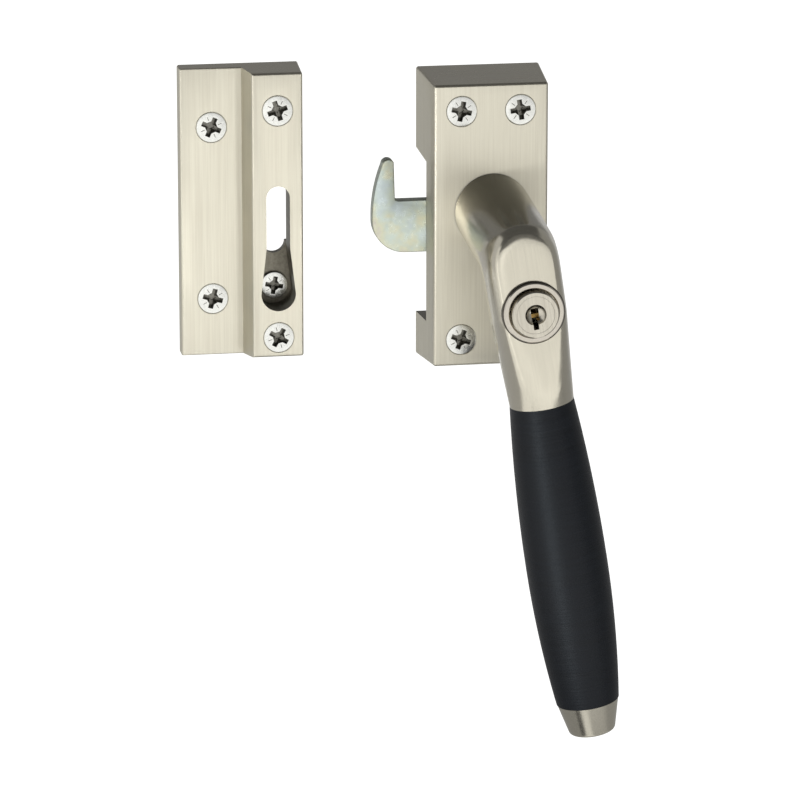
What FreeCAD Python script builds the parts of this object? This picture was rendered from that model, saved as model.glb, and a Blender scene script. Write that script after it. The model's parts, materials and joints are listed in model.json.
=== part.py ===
# Casement window lock: a lever handle with a push-to-lock key cylinder, a housing with a
# swinging hook, and the separate keep that the hook locks into.
# Frame: +Z up, +Y into the window frame, -Y towards the room, +X to the right seen from
# the room. The origin is the centre of the housing's four screws on the mounting plane.

import FreeCAD, Part
import math
import os
import Sketcher
from FreeCAD import Placement, Rotation, Vector

doc = FreeCAD.newDocument("window_lock")
sheet = doc.addObject("Spreadsheet::Sheet", "sizes")

# Driving dimensions, in millimetres and degrees
DRIVING = {
    # Clearances shared by mating pieces
    "seat_gap": 0.1,
    "fit_gap": 0.05,
    "press_gap": 0.02,
    "running_gap": 0.06,
    "slide_gap": 0.08,
    "bore_end_gap": 0.3,
    "screw_hole_gap": 0.15,
    # How far a cutting outline runs past the faces it opens
    "overrun": 1.0,
    # Housing casting
    "housing_depth": 22.0,
    "housing_front_width": 33.0,
    "housing_front_height": 82.2,
    "housing_draft_side": 1.5,
    "housing_edge_round": 0.8,
    "housing_wall": 3.2,
    "housing_front_wall": 9.3,
    "chamber_sweep_gap": 0.7,
    "recess_top": 13.2,
    "recess_top_ramp": 1.8,
    "recess_bottom": 33.8,
    # Screws of the housing
    "screw_side_inset": 8.0,
    "screw_end_inset": 7.7,
    "screw_shank_radius": 2.25,
    "screw_head_radius": 4.35,
    "screw_head_rim": 0.15,
    "screw_reach": 16.0,
    "screw_point_length": 4.5,
    "screw_thread_step": 0.2,
    # Back plate and its rivets
    "back_plate_thick": 2.0,
    "rivet_radius": 1.5,
    "rivet_head_radius": 2.6,
    "rivet_head_thick": 0.9,
    "rivet_length": 7.0,
    "rivet_top_inset": 13.6,
    "rivet_bottom_inset": 6.6,
    # Spindle and its bearings
    "spindle_across": 0.6,
    "spindle_height": 4.0,
    "spindle_square": 7.0,
    "spindle_journal_radius": 3.4,
    "spindle_flange_radius": 7.0,
    "spindle_reach": 22.0,
    "journal_inset": 0.2,
    "bush_wall": 1.0,
    "bush_bore_radius": 5.0,
    "spring_washer_thick": 0.5,
    "spring_washer_rise": 0.7,
    # Hook
    "hook_thick": 3.5,
    "hook_play": 0.2,
    "hook_hub_radius": 13.3,
    "hook_arm_top": 2.0,
    "hook_reach": 33.4,
    "hook_finger_width": 6.6,
    "hook_finger_tip_width": 3.4,
    "hook_finger_top": 14.9,
    "hook_finger_lean": 0.3,
    "hook_tip_drop": 0.6,
    "hook_tip_round": 1.8,
    "hook_back_radius": 42.0,
    "hook_belly_radius": 9.6,
    "hook_belly_start": 3.4,
    "hook_corner_round": 1.0,
    # Lever
    "lever_swing_angle": 9.0,
    "neck_radius": 11.1,
    "neck_gap": 0.6,
    "neck_washer_thick": 0.5,
    "neck_washer_inset": 0.2,
    "neck_lean_angle": 7.0,
    "grip_axis_height": 36.4,
    "lever_face_height": 46.9,
    "elbow_outer_round": 7.0,
    "elbow_inner_round": 8.0,
    "elbow_half_width": 10.7,
    "lever_end_along": 47.6,
    "lever_end_radius": 9.15,
    "flat_edge_blend": 3.0,
    "socket_depth": 24.0,
    "set_screw_radius": 2.5,
    "set_screw_length": 6.0,
    "set_screw_height": 8.0,
    "set_screw_key_radius": 1.25,
    "set_screw_key_depth": 2.5,
    # Push lock
    "lock_along": 18.7,
    "lock_travel": 3.5,
    "lock_end_play": 0.2,
    "collar_outer_radius": 8.9,
    "collar_inner_radius": 6.85,
    "collar_depth": 2.6,
    "collar_proud": 1.3,
    "collar_bevel": 0.6,
    "collar_inner_bevel": 0.4,
    "barrel_radius": 6.65,
    "barrel_proud": 3.7,
    "barrel_length": 17.4,
    "barrel_edge_bevel": 0.3,
    "plug_radius": 4.7,
    "plug_length": 12.3,
    "plug_head_radius": 5.3,
    "plug_head_thick": 1.6,
    "plug_head_sunk": 0.05,
    "key_pit_radius": 3.0,
    "key_pit_depth": 1.7,
    "key_slot_side": 1.1,
    "key_slot_foot_side": 0.4,
    "key_slot_above": 1.7,
    "key_slot_step": 1.9,
    "key_slot_below": 4.2,
    "key_groove_side": 1.5,
    "key_groove_depth": 0.15,
    "wafer_thick": 0.7,
    "wafer_width": 4.4,
    "wafer_height": 5.9,
    "wafer_lift": 1.15,
    "wafer_window_width": 2.6,
    "wafer_window_height": 3.8,
    "wafer_count": 5,
    "wafer_spacing": 1.7,
    "plug_clip_thick": 0.8,
    "plug_clip_hole": 2.6,
    "bolt_radius": 1.7,
    "bolt_offset": 8.4,
    "bolt_socket_depth": 4.2,
    "bolt_sunk": 0.4,
    "bolt_socket_gap": 0.2,
    "link_width": 3.8,
    "link_thick": 1.8,
    "lock_spring_radius": 3.6,
    "lock_spring_wire": 0.35,
    "lock_spring_turns": 3,
    "catch_radius": 1.2,
    "catch_length": 1.6,
    "catch_height": 5.0,
    # Grip and its tie rod
    "grip_length": 90.0,
    "grip_belly_radius": 11.65,
    "grip_belly_along": 49.5,
    "grip_end_radius": 9.05,
    "rod_radius": 3.0,
    "rod_in_lever": 12.0,
    "rod_in_cap": 6.0,
    "cap_length": 10.0,
    "cap_top_radius": 8.9,
    "cap_end_radius": 6.6,
    "cap_end_dome": 0.7,
    "cap_edge_round": 1.2,
    # Keep, the separate strike
    "keep_slot_across": 60.1,
    "keep_left_margin": 27.2,
    "keep_right_margin": 7.7,
    "keep_top": 45.2,
    "keep_bottom": 39.4,
    "keep_flange_thick": 5.0,
    "keep_block_thick": 13.0,
    "keep_block_left_margin": 10.5,
    "keep_block_slope": 3.1,
    "keep_block_draft_side": 0.5,
    "keep_block_draft_end": 0.8,
    "keep_edge_round": 0.7,
    "keep_slot_half_width": 3.4,
    "keep_slot_top": 11.5,
    "keep_slot_bottom": 10.2,
    "keep_flare_start": 6.7,
    "keep_pocket_height": 20.1,
    "keep_pocket_radius": 5.0,
    "keep_floor_thick": 2.6,
    "keep_face_wall": 8.4,
    "keep_cavity_half_width": 5.5,
    "keep_cavity_top": 19.0,
    "keep_flange_screw_margin": 18.0,
    "keep_flange_screw_top": 27.7,
    "keep_flange_screw_bottom": 22.6,
    "keep_block_screw_top": 33.5,
    "keep_block_screw_bottom": 32.9,
    "keep_floor_screw_height": 19.6,
    "floor_screw_shank_radius": 1.75,
    "floor_screw_head_radius": 3.9,
    "floor_screw_reach": 14.0,
    "floor_screw_proud": 1.3,
}

for row, (alias, number) in enumerate(DRIVING.items(), start=1):
    sheet.set(f"A{row}", alias)
    sheet.set(f"B{row}", str(number))
    sheet.setAlias(f"B{row}", alias)
doc.recompute()


# A size is a number together with the expression that makes it from the sheet's cells
class Size:
    def __init__(self, number, text):
        self.number = number
        self.text = text

    def __add__(self, other):
        other = as_size(other)
        return Size(self.number + other.number, f"({self.text} + {other.text})")

    def __radd__(self, other):
        return as_size(other) + self

    def __sub__(self, other):
        other = as_size(other)
        return Size(self.number - other.number, f"({self.text} - {other.text})")

    def __rsub__(self, other):
        return as_size(other) - self

    def __mul__(self, other):
        other = as_size(other)
        return Size(self.number * other.number, f"({self.text} * {other.text})")

    def __rmul__(self, other):
        return as_size(other) * self

    def __truediv__(self, other):
        other = as_size(other)
        return Size(self.number / other.number, f"({self.text} / {other.text})")

    def __neg__(self):
        return Size(-self.number, f"(0 - {self.text})")

    def __float__(self):
        return float(self.number)


def as_size(value):
    if isinstance(value, Size):
        return value
    return Size(float(value), repr(float(value)))


def root(value):
    return Size(math.sqrt(value.number), f"sqrt({value.text})")


def sine(angle):
    return Size(math.sin(math.radians(angle.number)), f"sin({angle.text})")


def cosine(angle):
    return Size(math.cos(math.radians(angle.number)), f"cos({angle.text})")


def cell(alias):
    return Size(float(sheet.get(alias)), f"sizes.{alias}")


def bind(item, prop, value):
    item.setExpression(prop, as_size(value).text)


NEAR = 1e-4

# Places that several pieces share
gap = cell("seat_gap")
fit = cell("fit_gap")
press = cell("press_gap")
running = cell("running_gap")
sliding = cell("slide_gap")
bore_end = cell("bore_end_gap")
overrun = cell("overrun")
closed = cell("lever_swing_angle")
screw_hole = cell("screw_shank_radius") + cell("screw_hole_gap")
depth = cell("housing_depth")
chamber_face = depth - cell("housing_front_wall")
hook_front = chamber_face - cell("hook_play")
hook_rear = hook_front - cell("hook_thick")
spindle_x = cell("spindle_across")
spindle_z = cell("spindle_height")
back_half_width = cell("housing_front_width") / 2 + cell("housing_draft_side")
back_half_height = cell("housing_front_height") / 2 + cell("housing_draft_side")
chamber_half_width = back_half_width - cell("housing_wall")
tail = cell("hook_belly_start")
sweep = root(cell("hook_reach") * cell("hook_reach") + tail * tail) + cell("chamber_sweep_gap")
grip_y = depth + cell("grip_axis_height")
lock_face = depth + cell("lever_face_height")
barrel_front = lock_face + cell("barrel_proud")
barrel_rear = barrel_front - cell("barrel_length")
barrel_bore_floor = barrel_rear - cell("lock_travel") - cell("lock_end_play")
collar_seat = lock_face + cell("collar_proud") - cell("collar_depth")
plug_front = barrel_front - cell("plug_head_sunk")
plug_shoulder = plug_front - cell("plug_head_thick")
plug_rear = plug_shoulder - cell("plug_length")
neck_foot = depth + cell("neck_gap")


# Bodies, sketches and features
def new_body(name, swung=False, turned=0.0):
    body = doc.addObject("PartDesign::Body", name)
    body.Label = name
    if swung:
        body.Placement = Placement(Vector(), Rotation(Vector(0, -1, 0), 1.0))
        bind(body, "Placement.Base.x", spindle_x)
        bind(body, "Placement.Base.z", spindle_z)
        bind(body, "Placement.Rotation.Angle", closed + turned)
    return body


def origin_plane(body, role):
    return next(item for item in body.Origin.OriginFeatures if item.Role == role)


def new_sketch(body, name, role, offset=0.0):
    sketch = body.newObject("Sketcher::SketchObject", name)
    sketch.AttachmentSupport = (origin_plane(body, role), [""])
    sketch.MapMode = "FlatFace"
    bind(sketch, "AttachmentOffset.Base.z", offset)
    return sketch


def hold(sketch, kind, geometry, point, value):
    value = as_size(value)
    index = sketch.addConstraint(Sketcher.Constraint(kind, geometry, point, value.number))
    name = f"{kind}_{geometry}_{point}"
    sketch.renameConstraint(index, name)
    sketch.setExpression(f"Constraints.{name}", value.text)


def hold_radius(sketch, geometry, value):
    value = as_size(value)
    index = sketch.addConstraint(Sketcher.Constraint("Radius", geometry, value.number))
    name = f"radius_{geometry}"
    sketch.renameConstraint(index, name)
    sketch.setExpression(f"Constraints.{name}", value.text)


def draw_circle(sketch, across, up, radius):
    across, up, radius = as_size(across), as_size(up), as_size(radius)
    centre = Vector(across.number, up.number, 0)
    index = sketch.addGeometry(Part.Circle(centre, Vector(0, 0, 1), radius.number))
    hold(sketch, "DistanceX", index, 3, across)
    hold(sketch, "DistanceY", index, 3, up)
    hold_radius(sketch, index, radius)


def arc_between(start, end, radius, turn):
    """The shorter arc of this radius from start to end; turn is +1 anticlockwise, -1 clockwise."""
    chord = end - start
    middle = (start + end) * 0.5
    rise = math.sqrt(max(radius * radius - chord.Length * chord.Length / 4.0, 0.0))
    left = Vector(-chord.y, chord.x, 0).normalize()
    centre = middle + left * rise * turn
    first = start if turn > 0 else end
    last = end if turn > 0 else start
    begin = math.atan2(first.y - centre.y, first.x - centre.x)
    finish = math.atan2(last.y - centre.y, last.x - centre.x)
    return Part.ArcOfCircle(Part.Circle(centre, Vector(0, 0, 1), radius), begin, finish)


def draw_outline(sketch, steps):
    """Closed outline. Each step is (across, up) for a line to the next point, or
    (across, up, radius, turn) for an arc to the next point."""
    points = [Vector(float(as_size(step[0])), float(as_size(step[1])), 0) for step in steps]
    ends = []
    for number, step in enumerate(steps):
        start = points[number]
        end = points[(number + 1) % len(points)]
        if len(step) == 2:
            index = sketch.addGeometry(Part.LineSegment(start, end))
            ends.append((index, 1, 2))
        else:
            radius, turn = as_size(step[2]), step[3]
            index = sketch.addGeometry(arc_between(start, end, radius.number, turn))
            hold_radius(sketch, index, radius)
            ends.append((index, 1, 2) if turn > 0 else (index, 2, 1))
    for number, (index, first, last) in enumerate(ends):
        following = ends[(number + 1) % len(ends)]
        sketch.addConstraint(Sketcher.Constraint("Coincident", index, last, following[0], following[1]))
        hold(sketch, "DistanceX", index, first, steps[number][0])
        hold(sketch, "DistanceY", index, first, steps[number][1])


def draw_box(sketch, left, bottom, right, top):
    draw_outline(sketch, [(left, bottom), (right, bottom), (right, top), (left, top)])


def add_pad(body, sketch, length, name="pad", towards_room=True, both_sides=False):
    pad = body.newObject("PartDesign::Pad", name)
    pad.Profile = sketch
    pad.Reversed = not towards_room
    pad.Midplane = both_sides
    bind(pad, "Length", length)
    doc.recompute()
    return pad


def add_pocket(body, sketch, length, name="pocket", along_normal=False, both_sides=False):
    before = body.Shape.Volume
    pocket = body.newObject("PartDesign::Pocket", name)
    pocket.Profile = sketch
    pocket.Reversed = along_normal
    pocket.Midplane = both_sides
    bind(pocket, "Length", length)
    doc.recompute()
    if body.Shape.Volume >= before:
        raise RuntimeError(f"{body.Label}: {name} removes nothing")
    return pocket


def add_turning(body, sketch, name="turning"):
    turning = body.newObject("PartDesign::Revolution", name)
    turning.Profile = sketch
    turning.ReferenceAxis = (sketch, ["V_Axis"])
    turning.Angle = 360
    doc.recompute()
    return turning


def add_loft(body, sketches, name="loft"):
    loft = body.newObject("PartDesign::AdditiveLoft", name)
    loft.Profile = sketches[0]
    loft.Sections = sketches[1:]
    loft.Ruled = True
    doc.recompute()
    return loft


def round_edges(body, base, chosen, radius, name="edge_round"):
    edges = [f"Edge{n}" for n, edge in enumerate(base.Shape.Edges, start=1) if chosen(edge)]
    fillet = body.newObject("PartDesign::Fillet", name)
    fillet.Base = (base, edges)
    bind(fillet, "Radius", radius)
    doc.recompute()
    return fillet


def bevel_edges(body, base, chosen, width, name="edge_bevel"):
    edges = [f"Edge{n}" for n, edge in enumerate(base.Shape.Edges, start=1) if chosen(edge)]
    chamfer = body.newObject("PartDesign::Chamfer", name)
    chamfer.Base = (base, edges)
    bind(chamfer, "Size", width)
    doc.recompute()
    return chamfer


def add_countersunk_holes(body, places, front, hole_radius, head_radius, name="screw_holes"):
    sketch = new_sketch(body, f"{name}_places", "XZ_Plane", front)
    for across, up in places:
        draw_circle(sketch, across, up, hole_radius)
    doc.recompute()
    before = body.Shape.Volume
    hole = body.newObject("PartDesign::Hole", name)
    hole.Profile = sketch
    hole.Threaded = False
    hole.DepthType = "ThroughAll"
    bind(hole, "Diameter", hole_radius * 2)
    hole.HoleCutType = "Countersink"
    hole.HoleCutCustomValues = True
    hole.HoleCutCountersinkAngle = 90.0
    bind(hole, "HoleCutDiameter", (head_radius + cell("screw_head_rim") + fit) * 2)
    doc.recompute()
    if body.Shape.Volume >= before:
        raise RuntimeError(f"{body.Label}: {name} removes nothing")
    return hole


def on_plane_y(edge, y_value):
    return all(abs(point.Point.y - y_value) < NEAR for point in edge.Vertexes)


def make_group(name, model, places):
    """One node of identical pieces: a link to the model at each place, as separate solids."""
    links = []
    for number, (across, front, up) in enumerate(places, start=1):
        link = doc.addObject("App::Link", f"{name}_{number}")
        link.LinkedObject = model
        link.LinkTransform = True
        bind(link, "Placement.Base.x", across)
        bind(link, "Placement.Base.y", -as_size(front))
        bind(link, "Placement.Base.z", up)
        links.append(link)
    group = doc.addObject("Part::Compound", name)
    group.Label = name
    group.Links = links
    doc.recompute()
    return group


# Housing: a drafted zinc casting, open at the back, with a side recess for the hook
half_across = cell("housing_front_width") / 2 - cell("screw_side_inset")
half_along = cell("housing_front_height") / 2 - cell("screw_end_inset")
housing_screws_at = [
    (across * half_across, up * half_along) for across in (-1, 1) for up in (-1, 1)
]
rivets_at = [
    (0.0, back_half_height - cell("rivet_top_inset")),
    (0.0, cell("rivet_bottom_inset") - back_half_height),
]


def draw_housing_block(body):
    back = new_sketch(body, "back_outline", "XZ_Plane")
    draw_box(back, -back_half_width, -back_half_height, back_half_width, back_half_height)
    front = new_sketch(body, "front_outline", "XZ_Plane", depth)
    across = cell("housing_front_width") / 2
    up = cell("housing_front_height") / 2
    draw_box(front, -across, -up, across, up)
    return add_loft(body, [back, front], "drafted_block")


def draw_bolt_holes(sketch):
    """The lock's bolt drops into one of two holes, for the closed and for the open lever."""
    reach = cell("bolt_offset")
    radius = cell("bolt_radius") + cell("bolt_socket_gap")
    draw_circle(sketch, spindle_x + reach * sine(closed), spindle_z - reach * cosine(closed), radius)
    draw_circle(sketch, spindle_x + reach * cosine(closed), spindle_z + reach * sine(closed), radius)


def make_housing():
    body = new_body("housing")
    block = draw_housing_block(body)
    block = round_edges(body, block, lambda edge: not on_plane_y(edge, 0.0), cell("housing_edge_round"))

    plate_seat = new_sketch(body, "back_plate_seat", "XZ_Plane")
    seat_up = back_half_height - cell("housing_wall")
    draw_box(plate_seat, -chamber_half_width, -seat_up, chamber_half_width, seat_up)
    add_pocket(body, plate_seat, cell("back_plate_thick"), "plate_recess", along_normal=True)

    chamber = new_sketch(body, "hook_chamber_outline", "XZ_Plane")
    top = spindle_z + cell("hook_hub_radius") + cell("chamber_sweep_gap")
    to_right = chamber_half_width - spindle_x
    to_left = chamber_half_width + spindle_x
    right = spindle_z - root(sweep * sweep - to_right * to_right)
    left = spindle_z - root(sweep * sweep - to_left * to_left)
    draw_outline(chamber, [
        (-chamber_half_width, left, sweep, 1),
        (chamber_half_width, right),
        (chamber_half_width, top),
        (-chamber_half_width, top),
    ])
    add_pocket(body, chamber, chamber_face, "hook_chamber", along_normal=True)

    recess = new_sketch(body, "side_recess_outline", "YZ_Plane", overrun - chamber_half_width)
    recess_up = spindle_z + cell("recess_top")
    draw_outline(recess, [
        (overrun, spindle_z - cell("recess_bottom")),
        (overrun, recess_up + cell("recess_top_ramp")),
        (0.0, recess_up + cell("recess_top_ramp")),
        (-chamber_face, recess_up),
        (-chamber_face, spindle_z - cell("recess_bottom")),
    ])
    add_pocket(body, recess, cell("housing_wall") + overrun * 2, "side_recess")

    bores = new_sketch(body, "front_wall_bores", "XZ_Plane", depth)
    draw_circle(bores, spindle_x, spindle_z, cell("bush_bore_radius") + cell("bush_wall") + press)
    add_pocket(body, bores, cell("housing_front_wall") + overrun, "bush_bore")

    add_countersunk_holes(body, housing_screws_at, depth, screw_hole, cell("screw_head_radius"))

    rivet_holes = new_sketch(body, "rivet_hole_places", "XZ_Plane")
    for across, up in rivets_at:
        draw_circle(rivet_holes, across, up, cell("rivet_radius") + fit)
    add_pocket(body, rivet_holes, cell("rivet_length") + bore_end, "rivet_holes", along_normal=True)

    sockets = new_sketch(body, "bolt_socket_places", "XZ_Plane", depth)
    draw_bolt_holes(sockets)
    add_pocket(body, sockets, cell("bolt_socket_depth"), "bolt_sockets")
    return body


def make_neck_washer():
    body = new_body("neck_washer")
    ring = new_sketch(body, "ring", "XZ_Plane", depth)
    draw_circle(ring, spindle_x, spindle_z, cell("neck_radius") - cell("neck_washer_inset"))
    draw_circle(ring, spindle_x, spindle_z, cell("bush_bore_radius") + gap)
    draw_bolt_holes(ring)
    add_pad(body, ring, cell("neck_washer_thick"))
    return body


def make_back_plate():
    body = new_body("back_plate")
    outline = new_sketch(body, "outline", "XZ_Plane")
    across = chamber_half_width - gap
    up = back_half_height - cell("housing_wall") - gap
    draw_box(outline, -across, -up, across, up)
    for place_x, place_z in housing_screws_at:
        draw_circle(outline, place_x, place_z, screw_hole)
    draw_circle(outline, spindle_x, spindle_z, cell("spindle_journal_radius") + running)
    for place_x, place_z in rivets_at:
        draw_circle(outline, place_x, place_z, cell("rivet_radius") + fit)
    add_pad(body, outline, cell("back_plate_thick"))
    heads = new_sketch(body, "rivet_head_seats", "XZ_Plane")
    for place_x, place_z in rivets_at:
        draw_circle(heads, place_x, place_z, cell("rivet_head_radius") + fit)
    add_pocket(body, heads, cell("rivet_head_thick"), "rivet_counterbores", along_normal=True)
    return body


def make_rivet():
    body = new_body("rivet_model")
    profile = new_sketch(body, "profile", "XY_Plane")
    head = cell("rivet_head_thick")
    draw_outline(profile, [
        (0.0, 0.0),
        (0.0, -cell("rivet_length")),
        (cell("rivet_radius"), -cell("rivet_length")),
        (cell("rivet_radius"), -head),
        (cell("rivet_head_radius"), -head),
        (cell("rivet_head_radius"), 0.0),
    ])
    add_turning(body, profile)
    return body


# Screws: countersunk head with its face at y = 0, shank through the casting, threaded end
def make_screw(name, head_radius, shank_radius, seated, reach):
    body = new_body(name)
    rim = cell("screw_head_rim")
    thread_radius = shank_radius - cell("screw_thread_step")
    profile = new_sketch(body, "profile", "XY_Plane")
    draw_outline(profile, [
        (0.0, 0.0),
        (head_radius, 0.0),
        (head_radius, rim),
        (shank_radius, rim + head_radius - shank_radius),
        (shank_radius, seated),
        (thread_radius, seated),
        (thread_radius, seated + reach - cell("screw_point_length")),
        (0.0, seated + reach),
    ])
    add_turning(body, profile)
    return body


# Spindle: journal in the back plate, flange behind the hook, square through hook and lever
def make_spindle():
    body = new_body("spindle", swung=True)
    journal = new_sketch(body, "journal", "XZ_Plane", cell("journal_inset"))
    draw_circle(journal, 0.0, 0.0, cell("spindle_journal_radius"))
    add_pad(body, journal, hook_rear - cell("journal_inset"), "journal_turning")
    flange_rear = cell("back_plate_thick") + cell("spring_washer_thick") + cell("spring_washer_rise") + gap
    flange = new_sketch(body, "flange", "XZ_Plane", flange_rear)
    draw_circle(flange, 0.0, 0.0, cell("spindle_flange_radius"))
    add_pad(body, flange, hook_rear - flange_rear, "flange_turning")
    half = cell("spindle_square") / 2
    square = new_sketch(body, "square", "XZ_Plane", hook_rear)
    draw_box(square, -half, -half, half, half)
    bar = add_pad(body, square, depth + cell("spindle_reach") - hook_rear, "square_bar")
    corners = half * math.sqrt(2) - cell("bush_bore_radius") + running
    bevel_edges(
        body, bar,
        lambda edge: abs(edge.Length - bar.Length.Value) < 1e-3 and edge.Curve.TypeId == "Part::GeomLine",
        corners * math.sqrt(2), "corner_bevels")
    return body


def make_spindle_bush():
    body = new_body("spindle_bush")
    ring = new_sketch(body, "ring", "XZ_Plane", chamber_face + gap)
    draw_circle(ring, spindle_x, spindle_z, cell("bush_bore_radius") + cell("bush_wall"))
    draw_circle(ring, spindle_x, spindle_z, cell("bush_bore_radius"))
    add_pad(body, ring, cell("housing_front_wall") - gap)
    return body


def make_spring_washer():
    body = new_body("spring_washer", swung=True)
    inner = cell("spindle_journal_radius") + gap
    outer = cell("spindle_flange_radius")
    rear = -(cell("back_plate_thick") + fit)
    thick = cell("spring_washer_thick")
    rise = cell("spring_washer_rise")
    profile = new_sketch(body, "profile", "XY_Plane")
    draw_outline(profile, [
        (inner, rear - rise),
        (inner, rear - rise - thick),
        (outer, rear - thick),
        (outer, rear),
    ])
    add_turning(body, profile)
    return body


def make_hook():
    body = new_body("hook", swung=True, turned=-closed)
    hub = cell("hook_hub_radius")
    reach = cell("hook_reach")
    inner = reach - cell("hook_finger_width")
    arm_top = cell("hook_arm_top")
    tip = cell("hook_finger_tip_width")
    finger_top = cell("hook_finger_top")
    belly = cell("hook_belly_radius")
    lean = cell("hook_finger_lean")
    round_in = cell("hook_corner_round")
    meets_hub = root(hub * hub - arm_top * arm_top)
    outline = new_sketch(body, "outline", "XZ_Plane", hook_rear)
    draw_outline(outline, [
        (0.0, -hub, hub, 1),
        (hub, 0.0, hub, 1),
        (0.0, hub, hub, 1),
        (-meets_hub, arm_top),
        (-inner + round_in, arm_top, round_in, -1),
        (-inner, arm_top + round_in),
        (-inner - lean, finger_top - tip / 2, cell("hook_tip_round"), 1),
        (-inner - lean - tip, finger_top - tip / 2 - cell("hook_tip_drop"), cell("hook_back_radius"), 1),
        (-reach, -tail, belly, 1),
        (-reach + belly, -hub),
    ])
    add_pad(body, outline, cell("hook_thick"))
    half = cell("spindle_square") / 2 + running
    square = new_sketch(body, "square_hole_outline", "XZ_Plane", hook_front)
    bind(square, "AttachmentOffset.Rotation.Angle", closed)
    draw_box(square, -half, -half, half, half)
    add_pocket(body, square, cell("hook_thick") + overrun, "square_hole")
    return body


# Lever: a swan neck that leans out of the housing and turns down into a tapered socket. Its
# skin is one smooth surface over rings of control points, whose planes fan out around the
# inner bend. Each ring is the section of a round bar, and where the bar would rise above
# the flat front, the ring follows the flat instead.
RING_POINTS = 40
NECK_RINGS = 5
BEND_RINGS = 24
ARM_RINGS = 11
SPLINE_DEGREE = 3


def smooth_lesser(first, second, blend):
    """The lesser of two heights, rounded off where they are closer than the blend."""
    overlap = max(blend - abs(first - second), 0.0)
    return min(first, second) - overlap * overlap / (4.0 * blend)


def smooth_share(value, start, end):
    share = min(1.0, max(0.0, (value - start) / (end - start)))
    return share * share * (3.0 - 2.0 * share)


class SwanNeck:
    """The lever in its own plane: "along" runs down the handle from the spindle's axis, and
    "out" is the height over the housing's front."""

    def __init__(self):
        self.foot = cell("neck_gap").number
        self.neck = cell("neck_radius").number
        self.tilt = math.radians(cell("neck_lean_angle").number)
        self.lean = math.tan(self.tilt)
        self.axis_out = cell("grip_axis_height").number
        self.face_out = cell("lever_face_height").number
        self.corner = cell("elbow_outer_round").number
        self.bend = cell("elbow_inner_round").number
        self.width = cell("elbow_half_width").number
        self.end_along = cell("lever_end_along").number
        self.end_radius = cell("lever_end_radius").number
        self.blend = cell("flat_edge_blend").number
        reach = self.neck + self.bend
        self.crown_out = self.face_out + self.corner
        self.back_out = 2 * self.axis_out - self.face_out
        self.centre_out = self.back_out - self.bend
        self.bend_out = self.centre_out + reach * math.sin(self.tilt)
        self.centre_along = self.lean * self.bend_out + reach * math.cos(self.tilt)

    def crown_distance(self, turn):
        """From the bend's centre to the round bar's outer side, along a ray turned this far."""
        along, out = -math.cos(turn), math.sin(turn)
        edge = -self.neck / math.cos(self.tilt)
        corner_along = edge + self.lean * self.crown_out + self.corner
        corner_out = self.crown_out - self.corner
        to_left = (edge + self.lean * self.centre_out - self.centre_along) / (along - self.lean * out)
        if self.centre_out + to_left * out <= corner_out:
            return to_left
        to_top = (self.crown_out - self.centre_out) / out
        if self.centre_along + to_top * along >= corner_along:
            return to_top
        gap_along = self.centre_along - corner_along
        gap_out = self.centre_out - corner_out
        half = along * gap_along + out * gap_out
        return -half + math.sqrt(half * half - gap_along ** 2 - gap_out ** 2 + self.corner ** 2)

    def axis_distance(self, turn):
        """From the bend's centre to the neck's axis or, further round, to the grip's axis."""
        to_neck = (self.neck + self.bend) / math.cos(turn - self.tilt)
        to_grip = (self.axis_out - self.centre_out) / math.sin(turn)
        return smooth_lesser(to_neck, to_grip, self.corner)

    def ring(self, along, out, turn, half_width, back, crown, flat, blend):
        """Control points around the bar. They stand outside the curve, so they are spread a little."""
        spread = 3.0 / (2.0 + math.cos(2.0 * math.pi / RING_POINTS))
        centre = Vector(0, -(depth.number + out), -along)
        outward = Vector(0, -math.sin(turn), math.cos(turn))
        points = []
        for number in range(RING_POINTS):
            angle = 2.0 * math.pi * number / RING_POINTS - math.pi / 2
            rise = math.sin(angle) * spread
            height = back * rise if rise < 0 else smooth_lesser(crown * rise, flat, blend)
            points.append(centre + Vector(half_width * spread * math.cos(angle), 0, 0) + outward * height)
        return points

    def neck_rings(self):
        for number in range(NECK_RINGS):
            share = number / NECK_RINGS
            out = self.foot + (self.bend_out - self.foot) * share
            yield self.ring(
                self.lean * out, out, self.tilt * share,
                self.neck, self.neck, self.neck, math.inf, self.blend)

    def bend_rings(self):
        for number in range(BEND_RINGS):
            share = number / BEND_RINGS
            turn = self.tilt + (math.pi / 2 - self.tilt) * share
            axis = self.axis_distance(turn)
            flat = (self.face_out - self.centre_out) / math.sin(turn) - axis
            yield self.ring(
                self.centre_along - math.cos(turn) * axis, self.centre_out + math.sin(turn) * axis,
                turn, self.neck + (self.width - self.neck) * share,
                axis - self.bend, self.crown_distance(turn) - axis, flat, self.blend)

    def arm_rings(self):
        back = self.axis_out - self.back_out
        crown = self.crown_out - self.axis_out
        for number in range(ARM_RINGS + 1):
            share = number / ARM_RINGS
            blend = self.blend * (1.0 - 0.95 * smooth_share(share, 0.5, 1.0))
            yield self.ring(
                self.centre_along + (self.end_along - self.centre_along) * share, self.axis_out,
                math.pi / 2, self.width + (self.end_radius - self.width) * share,
                back + (self.end_radius - back) * share, crown + (self.end_radius - crown) * share,
                self.face_out - self.axis_out, blend)


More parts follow.
